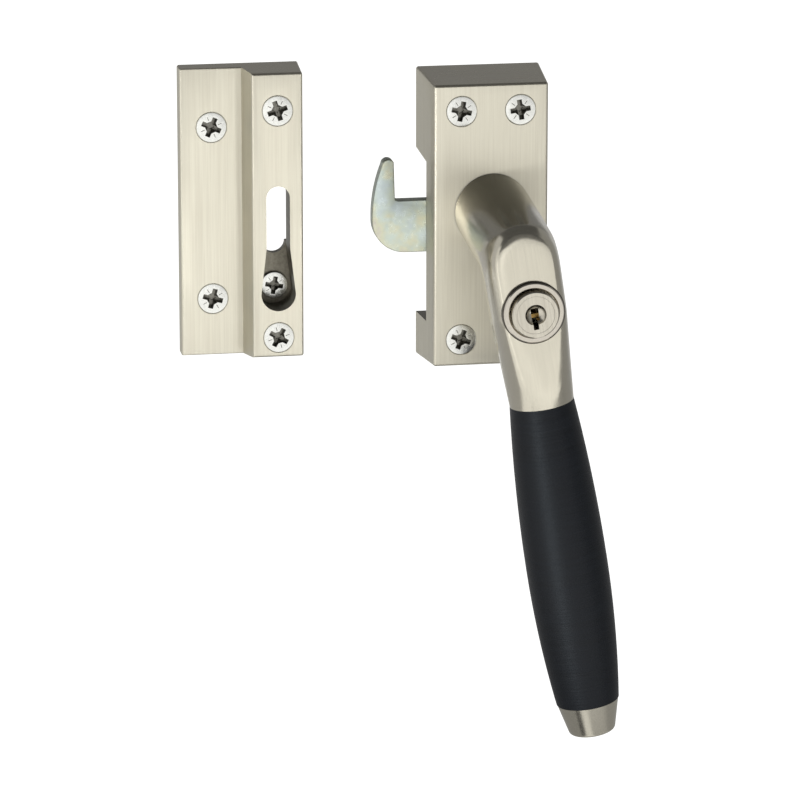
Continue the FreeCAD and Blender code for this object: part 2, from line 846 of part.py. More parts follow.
def lever_form():
    outline = SwanNeck()
    rings = list(outline.neck_rings()) + list(outline.bend_rings()) + list(outline.arm_rings())
    inner_knots = len(rings) - SPLINE_DEGREE - 1
    along_counts = [SPLINE_DEGREE + 1] + [1] * inner_knots + [SPLINE_DEGREE + 1]
    around_counts = [1] * (RING_POINTS + 1)
    skin = Part.BSplineSurface()
    skin.buildFromPolesMultsKnots(
        rings, along_counts, around_counts, list(range(len(along_counts))),
        list(range(len(around_counts))), False, True, SPLINE_DEGREE, SPLINE_DEGREE)
    side = skin.toShape()
    ends = [Part.Face(Part.Wire([edge])) for edge in side.Edges if edge.isClosed()]
    shell = Part.makeShell([side] + ends)
    shell.sewShape()
    form = doc.addObject("Part::Feature", "lever_form")
    form.Shape = Part.makeSolid(shell)
    return form


def make_lever():
    body = new_body("lever", swung=True)
    body.BaseFeature = lever_form()
    doc.recompute()
    half = cell("spindle_square") / 2 + gap
    socket = new_sketch(body, "spindle_socket", "XZ_Plane", neck_foot)
    draw_box(socket, -half, -half, half, half)
    add_pocket(body, socket, cell("socket_depth"), "square_socket", along_normal=True)

    bolt_bore = new_sketch(body, "bolt_bore_place", "XZ_Plane", neck_foot)
    draw_circle(bolt_bore, 0.0, -cell("bolt_offset"), cell("bolt_radius") + sliding)
    link_top = barrel_rear + cell("link_thick") + bore_end
    add_pocket(body, bolt_bore, link_top - neck_foot, "bolt_bore", along_normal=True)

    link_slot = new_sketch(body, "link_slot_outline", "YZ_Plane")
    draw_box(
        link_slot, -link_top, -cell("lock_along"),
        -barrel_bore_floor, -cell("bolt_offset") + cell("bolt_radius") + cell("bolt_socket_gap"))
    add_pocket(body, link_slot, cell("link_width") + 2 * gap, "link_slot", both_sides=True)

    barrel_bore = new_sketch(body, "barrel_bore_place", "XZ_Plane", barrel_bore_floor)
    draw_circle(barrel_bore, 0.0, -cell("lock_along"), cell("barrel_radius") + sliding)
    add_pocket(body, barrel_bore, lock_face + overrun - barrel_bore_floor, "barrel_bore", along_normal=True)

    collar_bore = new_sketch(body, "collar_seat_place", "XZ_Plane", collar_seat)
    draw_circle(collar_bore, 0.0, -cell("lock_along"), cell("collar_outer_radius") + press)
    add_pocket(body, collar_bore, lock_face + overrun - collar_seat, "collar_counterbore", along_normal=True)

    grub_bore = new_sketch(body, "set_screw_place", "YZ_Plane")
    draw_circle(grub_bore, -(depth + cell("set_screw_height")), 0.0, cell("set_screw_radius") + fit)
    add_pocket(body, grub_bore, cell("neck_radius") + overrun, "set_screw_bore", along_normal=True)

    rod_bore = new_sketch(body, "rod_bore_place", "XY_Plane", -cell("lever_end_along"))
    draw_circle(rod_bore, 0.0, -grip_y, cell("rod_radius") + fit)
    add_pocket(body, rod_bore, cell("rod_in_lever") + bore_end, "rod_bore", along_normal=True)
    return body


def make_set_screw():
    body = new_body("lever_set_screw", swung=True)
    start = cell("spindle_square") / 2 + press
    circle = new_sketch(body, "shank", "YZ_Plane", start)
    height = -(depth + cell("set_screw_height"))
    draw_circle(circle, height, 0.0, cell("set_screw_radius"))
    add_pad(body, circle, cell("set_screw_length"))
    key = new_sketch(body, "hex_key_socket", "YZ_Plane", start + cell("set_screw_length"))
    apart = cell("set_screw_key_radius")
    side = apart * root(as_size(3)) / 2
    draw_outline(key, [
        (height + apart, 0.0),
        (height + apart / 2, side),
        (height - apart / 2, side),
        (height - apart, 0.0),
        (height - apart / 2, -side),
        (height + apart / 2, -side),
    ])
    add_pocket(body, key, cell("set_screw_key_depth"), "hex_socket")
    return body


# Push lock: collar, sliding barrel, keyed plug with wafers, bolt and return spring
def turned_about_lock(body, profile_steps, name="turning"):
    """Turning about the lock's axis: steps give the radius and the distance in front of the
    mounting plane, and for an arc its radius and turn."""
    profile = new_sketch(body, f"{name}_profile", "XY_Plane", -cell("lock_along"))
    draw_outline(profile, [(step[0], -as_size(step[1]), *step[2:]) for step in profile_steps])
    return add_turning(body, profile, name)


def make_lock_collar():
    body = new_body("lock_collar", swung=True)
    outer = cell("collar_outer_radius")
    inner = cell("collar_inner_radius")
    bevel = cell("collar_bevel")
    inner_bevel = cell("collar_inner_bevel")
    front = collar_seat + cell("collar_depth")
    turned_about_lock(body, [
        (inner, collar_seat),
        (outer, collar_seat),
        (outer, front - bevel),
        (outer - bevel, front),
        (inner + inner_bevel, front),
        (inner, front - inner_bevel),
    ])
    return body


def add_key_groove(body):
    """The shallow groove that the cutter for the key slot leaves, from the slot to the edge."""
    side = cell("key_groove_side")
    floor = plug_front - cell("key_groove_depth")
    groove = new_sketch(body, "key_groove_outline", "XZ_Plane", floor)
    draw_box(
        groove, -side, -cell("lock_along") - cell("barrel_radius") - overrun,
        side, -cell("lock_along") - cell("key_slot_step"))
    add_pocket(body, groove, cell("barrel_proud"), "key_groove", along_normal=True)


def make_lock_barrel():
    body = new_body("lock_barrel", swung=True)
    outer = cell("barrel_radius")
    bore = cell("plug_radius") + running
    head = cell("plug_head_radius") + running
    head_seat = plug_shoulder - fit
    edge = cell("barrel_edge_bevel")
    turned_about_lock(body, [
        (bore, barrel_rear),
        (outer, barrel_rear),
        (outer, barrel_front - edge),
        (outer - edge, barrel_front),
        (head, barrel_front),
        (head, head_seat),
        (bore, head_seat),
    ])
    notch = new_sketch(body, "link_notch_outline", "YZ_Plane")
    draw_box(
        notch, -(barrel_rear + cell("link_thick") + fit), -cell("lock_along") + bore - overrun,
        -barrel_rear + overrun, -cell("lock_along") + outer + overrun)
    add_pocket(body, notch, cell("link_width") + fit * 2, "link_notch", both_sides=True)
    catch = new_sketch(body, "catch_hole_place", "YZ_Plane", bore)
    draw_circle(catch, -(barrel_rear + cell("catch_height")), -cell("lock_along"), cell("catch_radius") + fit)
    add_pocket(body, catch, outer - bore + overrun, "catch_hole", along_normal=True)
    add_key_groove(body)
    return body


def make_lock_plug():
    body = new_body("lock_plug", swung=True)
    radius = cell("plug_radius")
    head = cell("plug_head_radius")
    pit = cell("key_pit_radius")
    pit_depth = cell("key_pit_depth")
    turned_about_lock(body, [
        (0.0, plug_rear),
        (radius, plug_rear),
        (radius, plug_shoulder),
        (head, plug_shoulder),
        (head, plug_front),
        (pit, plug_front, (pit * pit / pit_depth + pit_depth) / 2, 1),
        (0.0, plug_front - pit_depth),
    ])
    slot = new_sketch(body, "key_slot_outline", "XZ_Plane", plug_front)
    middle = -cell("lock_along")
    side = cell("key_slot_side")
    foot = cell("key_slot_foot_side")
    draw_outline(slot, [
        (-side, middle - cell("key_slot_below")),
        (foot, middle - cell("key_slot_below")),
        (foot, middle - cell("key_slot_step")),
        (side, middle - cell("key_slot_step")),
        (side, middle + cell("key_slot_above")),
        (-side, middle + cell("key_slot_above")),
    ])
    add_pocket(body, slot, plug_front + overrun - plug_rear, "key_slot")
    add_key_groove(body)
    wafer_slot = new_sketch(body, "wafer_slot_outline", "XZ_Plane", plug_rear + cell("wafer_spacing"))
    half = cell("wafer_width") / 2 + fit
    up = cell("plug_radius") + overrun
    draw_box(wafer_slot, -half, -cell("lock_along") - up, half, -cell("lock_along") + up)
    cut = add_pocket(body, wafer_slot, cell("wafer_thick") + gap, "wafer_slot", along_normal=True)
    row_of_slots = body.newObject("PartDesign::LinearPattern", "wafer_slots")
    row_of_slots.Originals = [cut]
    row_of_slots.Direction = (wafer_slot, ["N_Axis"])
    bind(row_of_slots, "Length", cell("wafer_spacing") * (cell("wafer_count") - 1))
    bind(row_of_slots, "Occurrences", cell("wafer_count"))
    body.Tip = row_of_slots
    doc.recompute()
    return body


def make_wafer():
    body = new_body("wafer_model", swung=True)
    middle = cell("wafer_lift") - cell("lock_along")
    outline = new_sketch(body, "outline", "XZ_Plane", plug_rear + cell("wafer_spacing") + gap / 2)
    half = cell("wafer_width") / 2
    up = cell("wafer_height") / 2
    draw_box(outline, -half, middle - up, half, middle + up)
    half = cell("wafer_window_width") / 2
    up = cell("wafer_window_height") / 2
    draw_box(outline, -half, middle - up, half, middle + up)
    add_pad(body, outline, cell("wafer_thick"))
    return body


def make_plug_clip():
    body = new_body("plug_clip", swung=True)
    ring = new_sketch(body, "ring", "XZ_Plane", plug_rear - cell("plug_clip_thick") - fit)
    draw_circle(ring, 0.0, -cell("lock_along"), cell("plug_radius"))
    draw_circle(ring, 0.0, -cell("lock_along"), cell("plug_clip_hole"))
    add_pad(body, ring, cell("plug_clip_thick"))
    return body


def make_lock_catch():
    body = new_body("lock_catch", swung=True)
    start = cell("plug_radius") + running + gap
    circle = new_sketch(body, "shank", "YZ_Plane", start)
    draw_circle(circle, -(barrel_rear + cell("catch_height")), -cell("lock_along"), cell("catch_radius"))
    add_pad(body, circle, cell("catch_length"))
    return body


def make_locking_bolt():
    body = new_body("locking_bolt", swung=True)
    foot = neck_foot + cell("bolt_sunk")
    shank = new_sketch(body, "bolt_shank", "XZ_Plane", foot)
    draw_circle(shank, 0.0, -cell("bolt_offset"), cell("bolt_radius"))
    add_pad(body, shank, barrel_rear + cell("link_thick") - foot, "bolt")
    link = new_sketch(body, "link_outline", "YZ_Plane")
    draw_box(
        link, -(barrel_rear + cell("link_thick")), -cell("lock_along") + cell("plug_radius") + running + gap,
        -barrel_rear, -cell("bolt_offset"))
    add_pad(body, link, cell("link_width"), "link", both_sides=True)
    return body


def arc_from(start, heading, end):
    """The arc that leaves start along the heading and ends at end."""
    chord = end - start
    turn = heading.getAngle(chord)
    bisector = (heading + chord * (1.0 / chord.Length)).normalize()
    middle = start + bisector * (chord.Length / (2.0 * math.cos(turn / 2.0)))
    return Part.Arc(start, middle, end).toShape()


def biarc(start, heading, end, end_heading):
    """Two arcs with a common tangent that leave start and reach end along the headings."""
    chord = end - start
    together = heading + end_heading
    square = 2.0 * (1.0 - heading.dot(end_heading))
    across = chord.dot(together)
    reach = (math.sqrt(across * across + square * chord.dot(chord)) - across) / square
    joint = (start + end + (heading - end_heading) * reach) * 0.5
    return [arc_from(start, heading, joint), arc_from(end, -end_heading, joint)]


WIRE_SIDES = 8


def make_lock_spring():
    """Return spring between the floor of the barrel's bore and the plug's clip. Its hidden
    wire has eight narrow sides, with the area of the round one."""
    wire = cell("lock_spring_wire").number
    radius = cell("lock_spring_radius").number
    turns = cell("lock_spring_turns").number
    start = barrel_bore_floor.number + wire + 2 * fit.number
    end = plug_rear.number - cell("plug_clip_thick").number - wire - 3 * fit.number
    climb = (end - start) / (2.0 * math.pi * turns)

    def place(angle):
        return Vector(radius * math.cos(angle), radius * math.sin(angle), climb * angle)

    def heading(angle):
        return Vector(-radius * math.sin(angle), radius * math.cos(angle), climb).normalize()

    angles = [math.pi * number for number in range(round(turns * 2) + 1)]
    arcs = []
    for before, after in zip(angles, angles[1:]):
        arcs += biarc(place(before), heading(before), place(after), heading(after))
    side_angle = 2.0 * math.pi / WIRE_SIDES
    corner_radius = wire * math.sqrt(side_angle / math.sin(side_angle))
    outward = Vector(1, 0, 0)
    upward = heading(0.0).cross(outward)
    corners = []
    for number in range(WIRE_SIDES):
        angle = side_angle * (number + 0.5)
        spoke = outward * math.cos(angle) + upward * math.sin(angle)
        corners.append(place(0.0) + spoke * corner_radius)
    section = Part.makePolygon(corners + corners[:1])
    pitch = (end - start) / turns
    print("spring: least gap between turns", round(pitch - 2.0 * corner_radius, 2), "mm")
    form = doc.addObject("Part::Feature", "lock_spring")
    form.Label = "lock_spring"
    form.Shape = Part.Wire(arcs).makePipeShell([section], True, False)
    swing = Rotation(Vector(0, -1, 0), closed.number)
    along = swing.multVec(Vector(0, -start, -cell("lock_along").number))
    origin = Vector(spindle_x.number, 0, spindle_z.number)
    form.Placement = Placement(origin + along, swing.multiply(Rotation(Vector(1, 0, 0), 90)))
    return form


# Grip, tie rod and end cap, all turned about the grip's axis
def new_grip_body(name):
    """A body whose own Z axis is the grip's axis; z = 0 is where the grip meets the lever."""
    body = doc.addObject("PartDesign::Body", name)
    body.Label = name
    body.Placement = Placement(Vector(), Rotation(Vector(0, -1, 0), 1.0))
    bind(body, "Placement.Base.x", spindle_x + cell("lever_end_along") * sine(closed))
    bind(body, "Placement.Base.y", -grip_y)
    bind(body, "Placement.Base.z", spindle_z - cell("lever_end_along") * cosine(closed))
    bind(body, "Placement.Rotation.Angle", closed)
    return body


def make_grip():
    body = new_grip_body("grip")
    top = cell("lever_end_radius")
    belly = cell("grip_belly_radius")
    end = cell("grip_end_radius")
    length = cell("grip_length")
    belly_at = cell("grip_belly_along")
    lower = length - belly_at
    upper_arc = (belly_at * belly_at / (belly - top) + (belly - top)) / 2
    lower_arc = (lower * lower / (belly - end) + (belly - end)) / 2
    bore = cell("rod_radius") + gap
    profile = new_sketch(body, "profile", "XZ_Plane")
    draw_outline(profile, [
        (bore, 0.0),
        (bore, -length),
        (end, -length, lower_arc, 1),
        (belly, -belly_at, upper_arc, 1),
        (top, 0.0),
    ])
    add_turning(body, profile)
    return body


def make_grip_rod():
    body = new_grip_body("grip_rod")
    circle = new_sketch(body, "shank", "XY_Plane", -(cell("grip_length") + cell("rod_in_cap")))
    draw_circle(circle, 0.0, 0.0, cell("rod_radius"))
    add_pad(body, circle, cell("rod_in_lever") + cell("grip_length") + cell("rod_in_cap"))
    return body


def make_end_cap():
    body = new_grip_body("end_cap")
    start = cell("grip_length") + press
    finish = start + cell("cap_length")
    bore = cell("rod_radius") + press
    floor = cell("grip_length") + cell("rod_in_cap") + bore_end
    end = cell("cap_end_radius")
    dome = cell("cap_end_dome")
    dome_arc = (end * end / dome + dome) / 2
    profile = new_sketch(body, "profile", "XZ_Plane")
    draw_outline(profile, [
        (bore, -start),
        (bore, -floor),
        (0.0, -floor),
        (0.0, -finish, dome_arc, 1),
        (end, dome - finish),
        (cell("cap_top_radius"), -start),
    ])
    turned = add_turning(body, profile)

    def lower_rim(edge):
        return edge.Length > 1.0 and all(
            abs(point.Point.z - (dome - finish).number) < NEAR
            and abs(math.hypot(point.Point.x, point.Point.y) - end.number) < NEAR
            for point in edge.Vertexes)

    round_edges(body, turned, lower_rim, cell("cap_edge_round"))
    return body


# Keep: a stepped casting with a keyhole slot that the hook enters and rises behind
slot_centre = -cell("keep_slot_across")
flange_screws_across = slot_centre - cell("keep_flange_screw_margin")
keep_screws_at = [
    (flange_screws_across, cell("keep_flange_thick"), cell("keep_flange_screw_top")),
    (flange_screws_across, cell("keep_flange_thick"), -cell("keep_flange_screw_bottom")),
    (slot_centre, cell("keep_block_thick"), cell("keep_block_screw_top")),
    (slot_centre, cell("keep_block_thick"), -cell("keep_block_screw_bottom")),
]


def make_keep():
    body = new_body("keep")
    top = cell("keep_top")
    bottom = -cell("keep_bottom")
    left = slot_centre - cell("keep_left_margin")
    right = slot_centre + cell("keep_right_margin")
    block_left = slot_centre - cell("keep_block_left_margin")
    thick = cell("keep_block_thick")
    flange = new_sketch(body, "flange_outline", "XZ_Plane")
    draw_box(flange, left, bottom, right - overrun * 2, top)
    plate = add_pad(body, flange, cell("keep_flange_thick"), "flange")

    def free_flange_edge(edge):
        return not on_plane_y(edge, 0.0) and any(
            abs(point.Point.x - left.number) < NEAR for point in edge.Vertexes)

    round_edges(body, plate, free_flange_edge, cell("keep_edge_round"), "flange_round")
    back = new_sketch(body, "block_back_outline", "XZ_Plane")
    draw_box(back, block_left, bottom, right, top)
    front = new_sketch(body, "block_front_outline", "XZ_Plane", thick)
    side = cell("keep_block_draft_side")
    end = cell("keep_block_draft_end")
    draw_box(front, block_left + cell("keep_block_slope"), bottom + end, right - side, top - end)
    block = add_loft(body, [back, front], "drafted_block")

    def free_block_edge(edge):
        middle = edge.CenterOfMass
        in_front = all(point.Point.y < NEAR - thick.number for point in edge.Vertexes)
        at_right = middle.x > (right - side).number - NEAR and not on_plane_y(edge, 0.0)
        return in_front or at_right

    round_edges(body, block, free_block_edge, cell("keep_edge_round"), "block_round")

    centre = slot_centre
    half = cell("keep_slot_half_width")
    pocket_z = -cell("keep_pocket_height")
    pocket_radius = cell("keep_pocket_radius")
    slot_top = cell("keep_slot_top")
    keyhole = new_sketch(body, "keyhole_outline", "XZ_Plane", thick)
    draw_outline(keyhole, [
        (centre - half, -cell("keep_flare_start")),
        (centre - pocket_radius, pocket_z, pocket_radius, 1),
        (centre, pocket_z - pocket_radius, pocket_radius, 1),
        (centre + pocket_radius, pocket_z),
        (centre + half, -cell("keep_flare_start")),
        (centre + half, slot_top - half, half, 1),
        (centre, slot_top, half, 1),
        (centre - half, slot_top - half),
    ])
    add_pocket(body, keyhole, thick - cell("keep_floor_thick"), "keyhole")

    through = new_sketch(body, "through_slot_outline", "XZ_Plane", thick)
    slot_bottom = -cell("keep_slot_bottom")
    draw_outline(through, [
        (centre - half, slot_bottom + half, half, 1),
        (centre, slot_bottom, half, 1),
        (centre + half, slot_bottom + half),
        (centre + half, slot_top - half, half, 1),
        (centre, slot_top, half, 1),
        (centre - half, slot_top - half),
    ])
    add_pocket(body, through, thick + overrun, "through_slot")

    cavity = new_sketch(body, "hook_cavity_outline", "XZ_Plane")
    wide = cell("keep_cavity_half_width")
    draw_box(cavity, centre - wide, slot_bottom + half, centre + wide, cell("keep_cavity_top"))
    add_pocket(body, cavity, thick - cell("keep_face_wall"), "hook_cavity", along_normal=True)

    for name, (across, front, up) in zip(
            ("flange_screw_top", "flange_screw_bottom", "block_screw_top", "block_screw_bottom"),
            keep_screws_at):
        add_countersunk_holes(
            body, [(across, up)], front, screw_hole, cell("screw_head_radius"), name)
    add_countersunk_holes(
        body, [(centre, -cell("keep_floor_screw_height"))], cell("keep_floor_thick"),
        cell("floor_screw_shank_radius") + cell("screw_hole_gap"),
        cell("floor_screw_head_radius") - cell("floor_screw_proud"), "floor_screw_hole")
    return body


# Assembly of the nodes
housing_screw = make_screw(
    "housing_screw_model", cell("screw_head_radius"), cell("screw_shank_radius"),
    depth, cell("screw_reach"))
flange_screw = make_screw(
    "flange_screw_model", cell("screw_head_radius"), cell("screw_shank_radius"),
    cell("keep_flange_thick"), cell("screw_reach"))
block_screw = make_screw(
    "block_screw_model", cell("screw_head_radius"), cell("screw_shank_radius"),
    cell("keep_block_thick"), cell("screw_reach"))
rivet = make_rivet()
wafer = make_wafer()
wafer_places = [
    (0.0, cell("wafer_spacing") * number, 0.0) for number in range(int(cell("wafer_count").number))
]

nodes = [
    make_housing(),
    make_back_plate(),
    make_group("back_plate_rivets", rivet, [(across, 0.0, up) for across, up in rivets_at]),
    make_group("housing_screws", housing_screw, [(across, depth, up) for across, up in housing_screws_at]),
    make_spindle_bush(),
    make_neck_washer(),
    make_spindle(),
    make_spring_washer(),
    make_hook(),
    make_lever(),
    make_set_screw(),
    make_lock_collar(),
    make_lock_barrel(),
    make_lock_plug(),
    make_group("lock_wafers", wafer, wafer_places),
    make_plug_clip(),
    make_lock_catch(),
    make_locking_bolt(),
    make_lock_spring(),
    make_grip(),
    make_grip_rod(),
    make_end_cap(),
    make_keep(),
    make_group("keep_flange_screws", flange_screw, keep_screws_at[:2]),
    make_group("keep_block_screws", block_screw, keep_screws_at[2:]),
]
floor_screw_seat = cell("keep_floor_thick") + cell("floor_screw_proud")
floor_screw = make_screw(
    "keep_floor_screw", cell("floor_screw_head_radius"), cell("floor_screw_shank_radius"),
    floor_screw_seat, cell("floor_screw_reach"))
bind(floor_screw, "Placement.Base.x", slot_centre)
bind(floor_screw, "Placement.Base.y", -floor_screw_seat)
bind(floor_screw, "Placement.Base.z", -cell("keep_floor_screw_height"))
nodes.append(floor_screw)
doc.recompute()

# Every object has to be sound before anything is written
for item in doc.Objects:
    if "Invalid" in item.State or "Error" in item.State:
        raise RuntimeError(f"{item.Label} failed: {item.State}")
for node in nodes:
    if node.Shape.isNull() or not node.Shape.isValid():
        raise RuntimeError(f"{node.Label} has no valid shape")

os.makedirs("parts", exist_ok=True)
for node in nodes:
    node.Shape.exportStep(f"parts/{node.Label}.step")
    print(node.Label, len(node.Shape.Solids), "solids", round(node.Shape.Volume, 1), "mm3")
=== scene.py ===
# %% [markdown]
# # A window lock in satin nickel and black
# The lock's pieces come in from its CAD model, each in its right place and size. This lesson
# gives them their finishes, adds the small detail that CAD left plain, and sets up a camera
# and soft studio light. Everything is in metres: +Z is up and the room is towards -Y.

# %% Load the frame
import json
import math
import bmesh
import bpy
from mathutils import Matrix, Vector

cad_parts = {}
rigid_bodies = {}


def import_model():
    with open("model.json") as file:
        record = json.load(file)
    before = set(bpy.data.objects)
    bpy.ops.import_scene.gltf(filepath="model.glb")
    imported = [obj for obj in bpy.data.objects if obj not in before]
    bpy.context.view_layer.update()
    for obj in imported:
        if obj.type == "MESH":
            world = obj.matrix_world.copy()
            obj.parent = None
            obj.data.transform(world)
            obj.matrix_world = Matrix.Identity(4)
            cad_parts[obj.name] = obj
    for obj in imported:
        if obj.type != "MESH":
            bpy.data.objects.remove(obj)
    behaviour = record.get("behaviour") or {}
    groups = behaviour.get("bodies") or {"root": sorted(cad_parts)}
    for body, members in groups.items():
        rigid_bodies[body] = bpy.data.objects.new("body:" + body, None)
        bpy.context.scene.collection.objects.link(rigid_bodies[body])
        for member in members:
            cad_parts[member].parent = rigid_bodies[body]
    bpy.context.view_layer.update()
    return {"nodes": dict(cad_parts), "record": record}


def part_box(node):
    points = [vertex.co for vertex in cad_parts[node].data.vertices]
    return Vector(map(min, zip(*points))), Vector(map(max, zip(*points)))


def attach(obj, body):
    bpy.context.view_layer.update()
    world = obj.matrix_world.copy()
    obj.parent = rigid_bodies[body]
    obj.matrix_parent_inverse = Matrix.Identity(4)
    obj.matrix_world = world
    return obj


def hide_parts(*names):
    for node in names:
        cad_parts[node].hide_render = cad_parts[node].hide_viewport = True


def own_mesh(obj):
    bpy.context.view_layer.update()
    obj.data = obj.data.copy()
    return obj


for leftover in list(bpy.data.objects):
    bpy.data.objects.remove(leftover)
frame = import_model()
MM = 0.001

# %% [markdown]
# The photograph was taken with a long lens from a little to the left and a little above. A
# camera 1.5 m away with a long focal length gives the same weak perspective. It looks at a
# point between the two units, so no lens shift is needed.

# %% Camera
AZIMUTH = math.radians(9.45)
ELEVATION = math.radians(14.74)
DISTANCE = 1.5
LENS, SENSOR = 230.9, 36.0  # in mm, as on a real camera
FAR_SIDE = 20.0  # the camera sees this far, which is past the end of the floor
aim = Vector((-22.66, 0.0, -56.46)) * MM
away = Vector((-math.sin(AZIMUTH) * math.cos(ELEVATION),
               -math.cos(AZIMUTH) * math.cos(ELEVATION), math.sin(ELEVATION)))
camera = bpy.data.objects.new("camera", bpy.data.cameras.new("camera"))
camera.data.lens = LENS
camera.data.sensor_width = SENSOR
camera.data.clip_end = FAR_SIDE
camera.location = aim + away * DISTANCE
camera.rotation_euler = (-away).to_track_quat("-Z", "Y").to_euler()
bpy.context.scene.collection.objects.link(camera)
bpy.context.scene.camera = camera
bpy.context.scene.view_settings.view_transform = "Standard"
print("camera at", [round(value, 3) for value in camera.location])

# %% [markdown]
# Colours are written as sRGB hex, the way a colour picker gives them. Blender works in linear
# light, where half the light is half the number, so one function turns the first into the
# second.

# %% Colours
def linear(colour):
    """An sRGB colour such as "#c0b8a8" as linear red, green, blue and alpha."""
    values = [int(colour[place:place + 2], 16) / 255 for place in (1, 3, 5)]
    return [v / 12.92 if v <= 0.04045 else ((v + 0.055) / 1.055) ** 2.4 for v in values] + [1.0]


print("the grey #808080 is", round(linear("#808080")[0], 3), "in linear light")

# %% [markdown]
# A material is a tree of nodes. One helper adds a node with its settings, its values and its
# links, and another starts a material with its shader, so that each material below reads as a
# short list of what it is made of. Most of them look to a noise, whose values nearly all lie
# between 0.3 and 0.7, and to a Mix node, whose colour sockets go by number.

# %% Nodes and materials
SPAN = {"From Min": 0.3, "From Max": 0.7}
MIX_FACTOR, MIX_FIRST, MIX_SECOND, MIX_RESULT = 0, 6, 7, 2


def link_all(tree, node, links):
    """Joins each of these outputs to the socket of the node that it is listed for."""
    for socket, output in dict(links).items():
        tree.links.new(output, node.inputs[socket])


def add_node(tree, kind, settings=(), sockets=(), links=()):
    """A node of this kind: settings are its own, sockets hold values, links join outputs to it."""
    node = tree.nodes.new(kind)
    for name, value in dict(settings).items():
        setattr(node, name, value)
    for socket, value in dict(sockets).items():
        node.inputs[socket].default_value = value
    link_all(tree, node, links)
    return node


def new_material(name, sockets):
    """A material with one Principled shader, which has these values on its sockets."""
    material = bpy.data.materials.new(name)
    material.use_nodes = True
    tree = material.node_tree
    shader = tree.nodes["Principled BSDF"]
    for socket, value in sockets.items():
        shader.inputs[socket].default_value = value
    return material, tree, shader


# %% [markdown]
# Most of the metal is brushed. A fine abrasive belt leaves hair-fine lines that all run one
# way, and the plate that comes after keeps them. A noise that is stretched 60 times along the
# brushing makes them, as a faint bump and as a slight change of tone, and a second, soft noise
# gives the cloudy sheen that plating has. Real lines are about 0.1 mm wide, too fine to show
# in a picture of this size, so each width below is two to five times that. Brushing also
# spreads a reflection across its lines. The shader's Anisotropic does that, with a tangent
# that runs round the upright axis.

# %% Brushed metal
LINE_STRETCH = 60.0
CLOUD = 12 * MM  # the width of a cloud in the plate
UNEVEN = 0.06  # how far the roughness goes up and down, as a share of it


def brushed_metal(name, colour, dark_colour, roughness, brushing, width=0.3 * MM, turn=0.0,
                  depth=0.012 * MM, spread=0.0):
    """Metal with lines along the axis "brushing" (0, 1 or 2), which are turned about Y."""
    material, tree, shader = new_material(name, {"Metallic": 1.0, "Anisotropic": spread})
    place = add_node(tree, "ShaderNodeTexCoord")
    turned = add_node(tree, "ShaderNodeMapping", {}, {"Rotation": (0.0, turn, 0.0)},
                      {"Vector": place.outputs["Object"]})
    stretch = [1.0, 1.0, 1.0]
    stretch[brushing] = 1.0 / LINE_STRETCH
    stretched = add_node(tree, "ShaderNodeMapping", {}, {"Scale": stretch},
                         {"Vector": turned.outputs["Vector"]})
    lines = add_node(tree, "ShaderNodeTexNoise", {},
                     {"Scale": 0.5 / width, "Detail": 3.0, "Roughness": 0.6},
                     {"Vector": stretched.outputs["Vector"]})
    cloud = add_node(tree, "ShaderNodeTexNoise", {}, {"Scale": 1.0 / CLOUD, "Detail": 2.0},
                     {"Vector": place.outputs["Object"]})
    tone = add_node(tree, "ShaderNodeMapRange", {}, SPAN, {"Value": lines.outputs["Fac"]})
    blend = add_node(tree, "ShaderNodeMix", {"data_type": "RGBA"},
                     {MIX_FIRST: linear(dark_colour), MIX_SECOND: linear(colour)},
                     {MIX_FACTOR: tone.outputs["Result"]})
    rough = add_node(tree, "ShaderNodeMapRange", {}, {
        **SPAN, "To Min": roughness * (1 - UNEVEN), "To Max": roughness * (1 + UNEVEN)},
        {"Value": cloud.outputs["Fac"]})
    bump = add_node(tree, "ShaderNodeBump", {}, {"Strength": 0.5, "Distance": depth},
                    {"Height": lines.outputs["Fac"]})
    link_all(tree, shader, {
        "Base Color": blend.outputs[MIX_RESULT], "Roughness": rough.outputs["Result"],
        "Normal": bump.outputs["Normal"]})
    if spread:
        across = add_node(tree, "ShaderNodeTangent", {"direction_type": "RADIAL", "axis": "Z"})
        link_all(tree, shader, {"Tangent": across.outputs["Tangent"]})
    return material


print("a brushed line is", LINE_STRETCH, "times as long as it is wide")

# %% [markdown]
# The hook is a steel stamping with a bright zinc plate and a clear passivation. That film is
# so thin that it tinges the zinc blue, green, yellow and pink, in drifts about 9 mm across.
# A colour ramp over a soft noise gives them. A finer noise of 1.2 mm makes the gloss uneven,
# as it is on rolled steel.

# %% Passivated zinc
DRIFT, GRAIN = 9 * MM, 1.2 * MM
hook_zinc, tree, shader = new_material("passivated_zinc_hook", {"Metallic": 1.0})
place = add_node(tree, "ShaderNodeTexCoord")
drift = add_node(tree, "ShaderNodeTexNoise", {},
                 {"Scale": 1.0 / DRIFT, "Detail": 3.0, "Roughness": 0.6},
                 {"Vector": place.outputs["Object"]})
tinge = add_node(tree, "ShaderNodeValToRGB", {}, {}, {"Fac": drift.outputs["Fac"]})
stops = tinge.color_ramp.elements
stops[0].position, stops[0].color = 0.34, linear("#b7c1c0")
stops[1].position, stops[1].color = 0.66, linear("#beb9b0")
for position, colour in ((0.45, "#b9c2b8"), (0.56, "#c3c3ac")):
    stops.new(position).color = linear(colour)
grain = add_node(tree, "ShaderNodeTexNoise", {},
                 {"Scale": 1.0 / GRAIN, "Detail": 2.0, "Roughness": 0.5},
                 {"Vector": place.outputs["Object"]})
rough = add_node(tree, "ShaderNodeMapRange", {}, {**SPAN, "To Min": 0.26, "To Max": 0.38},
                 {"Value": grain.outputs["Fac"]})
bump = add_node(tree, "ShaderNodeBump", {}, {"Strength": 0.3, "Distance": 0.004 * MM},
                {"Height": grain.outputs["Fac"]})
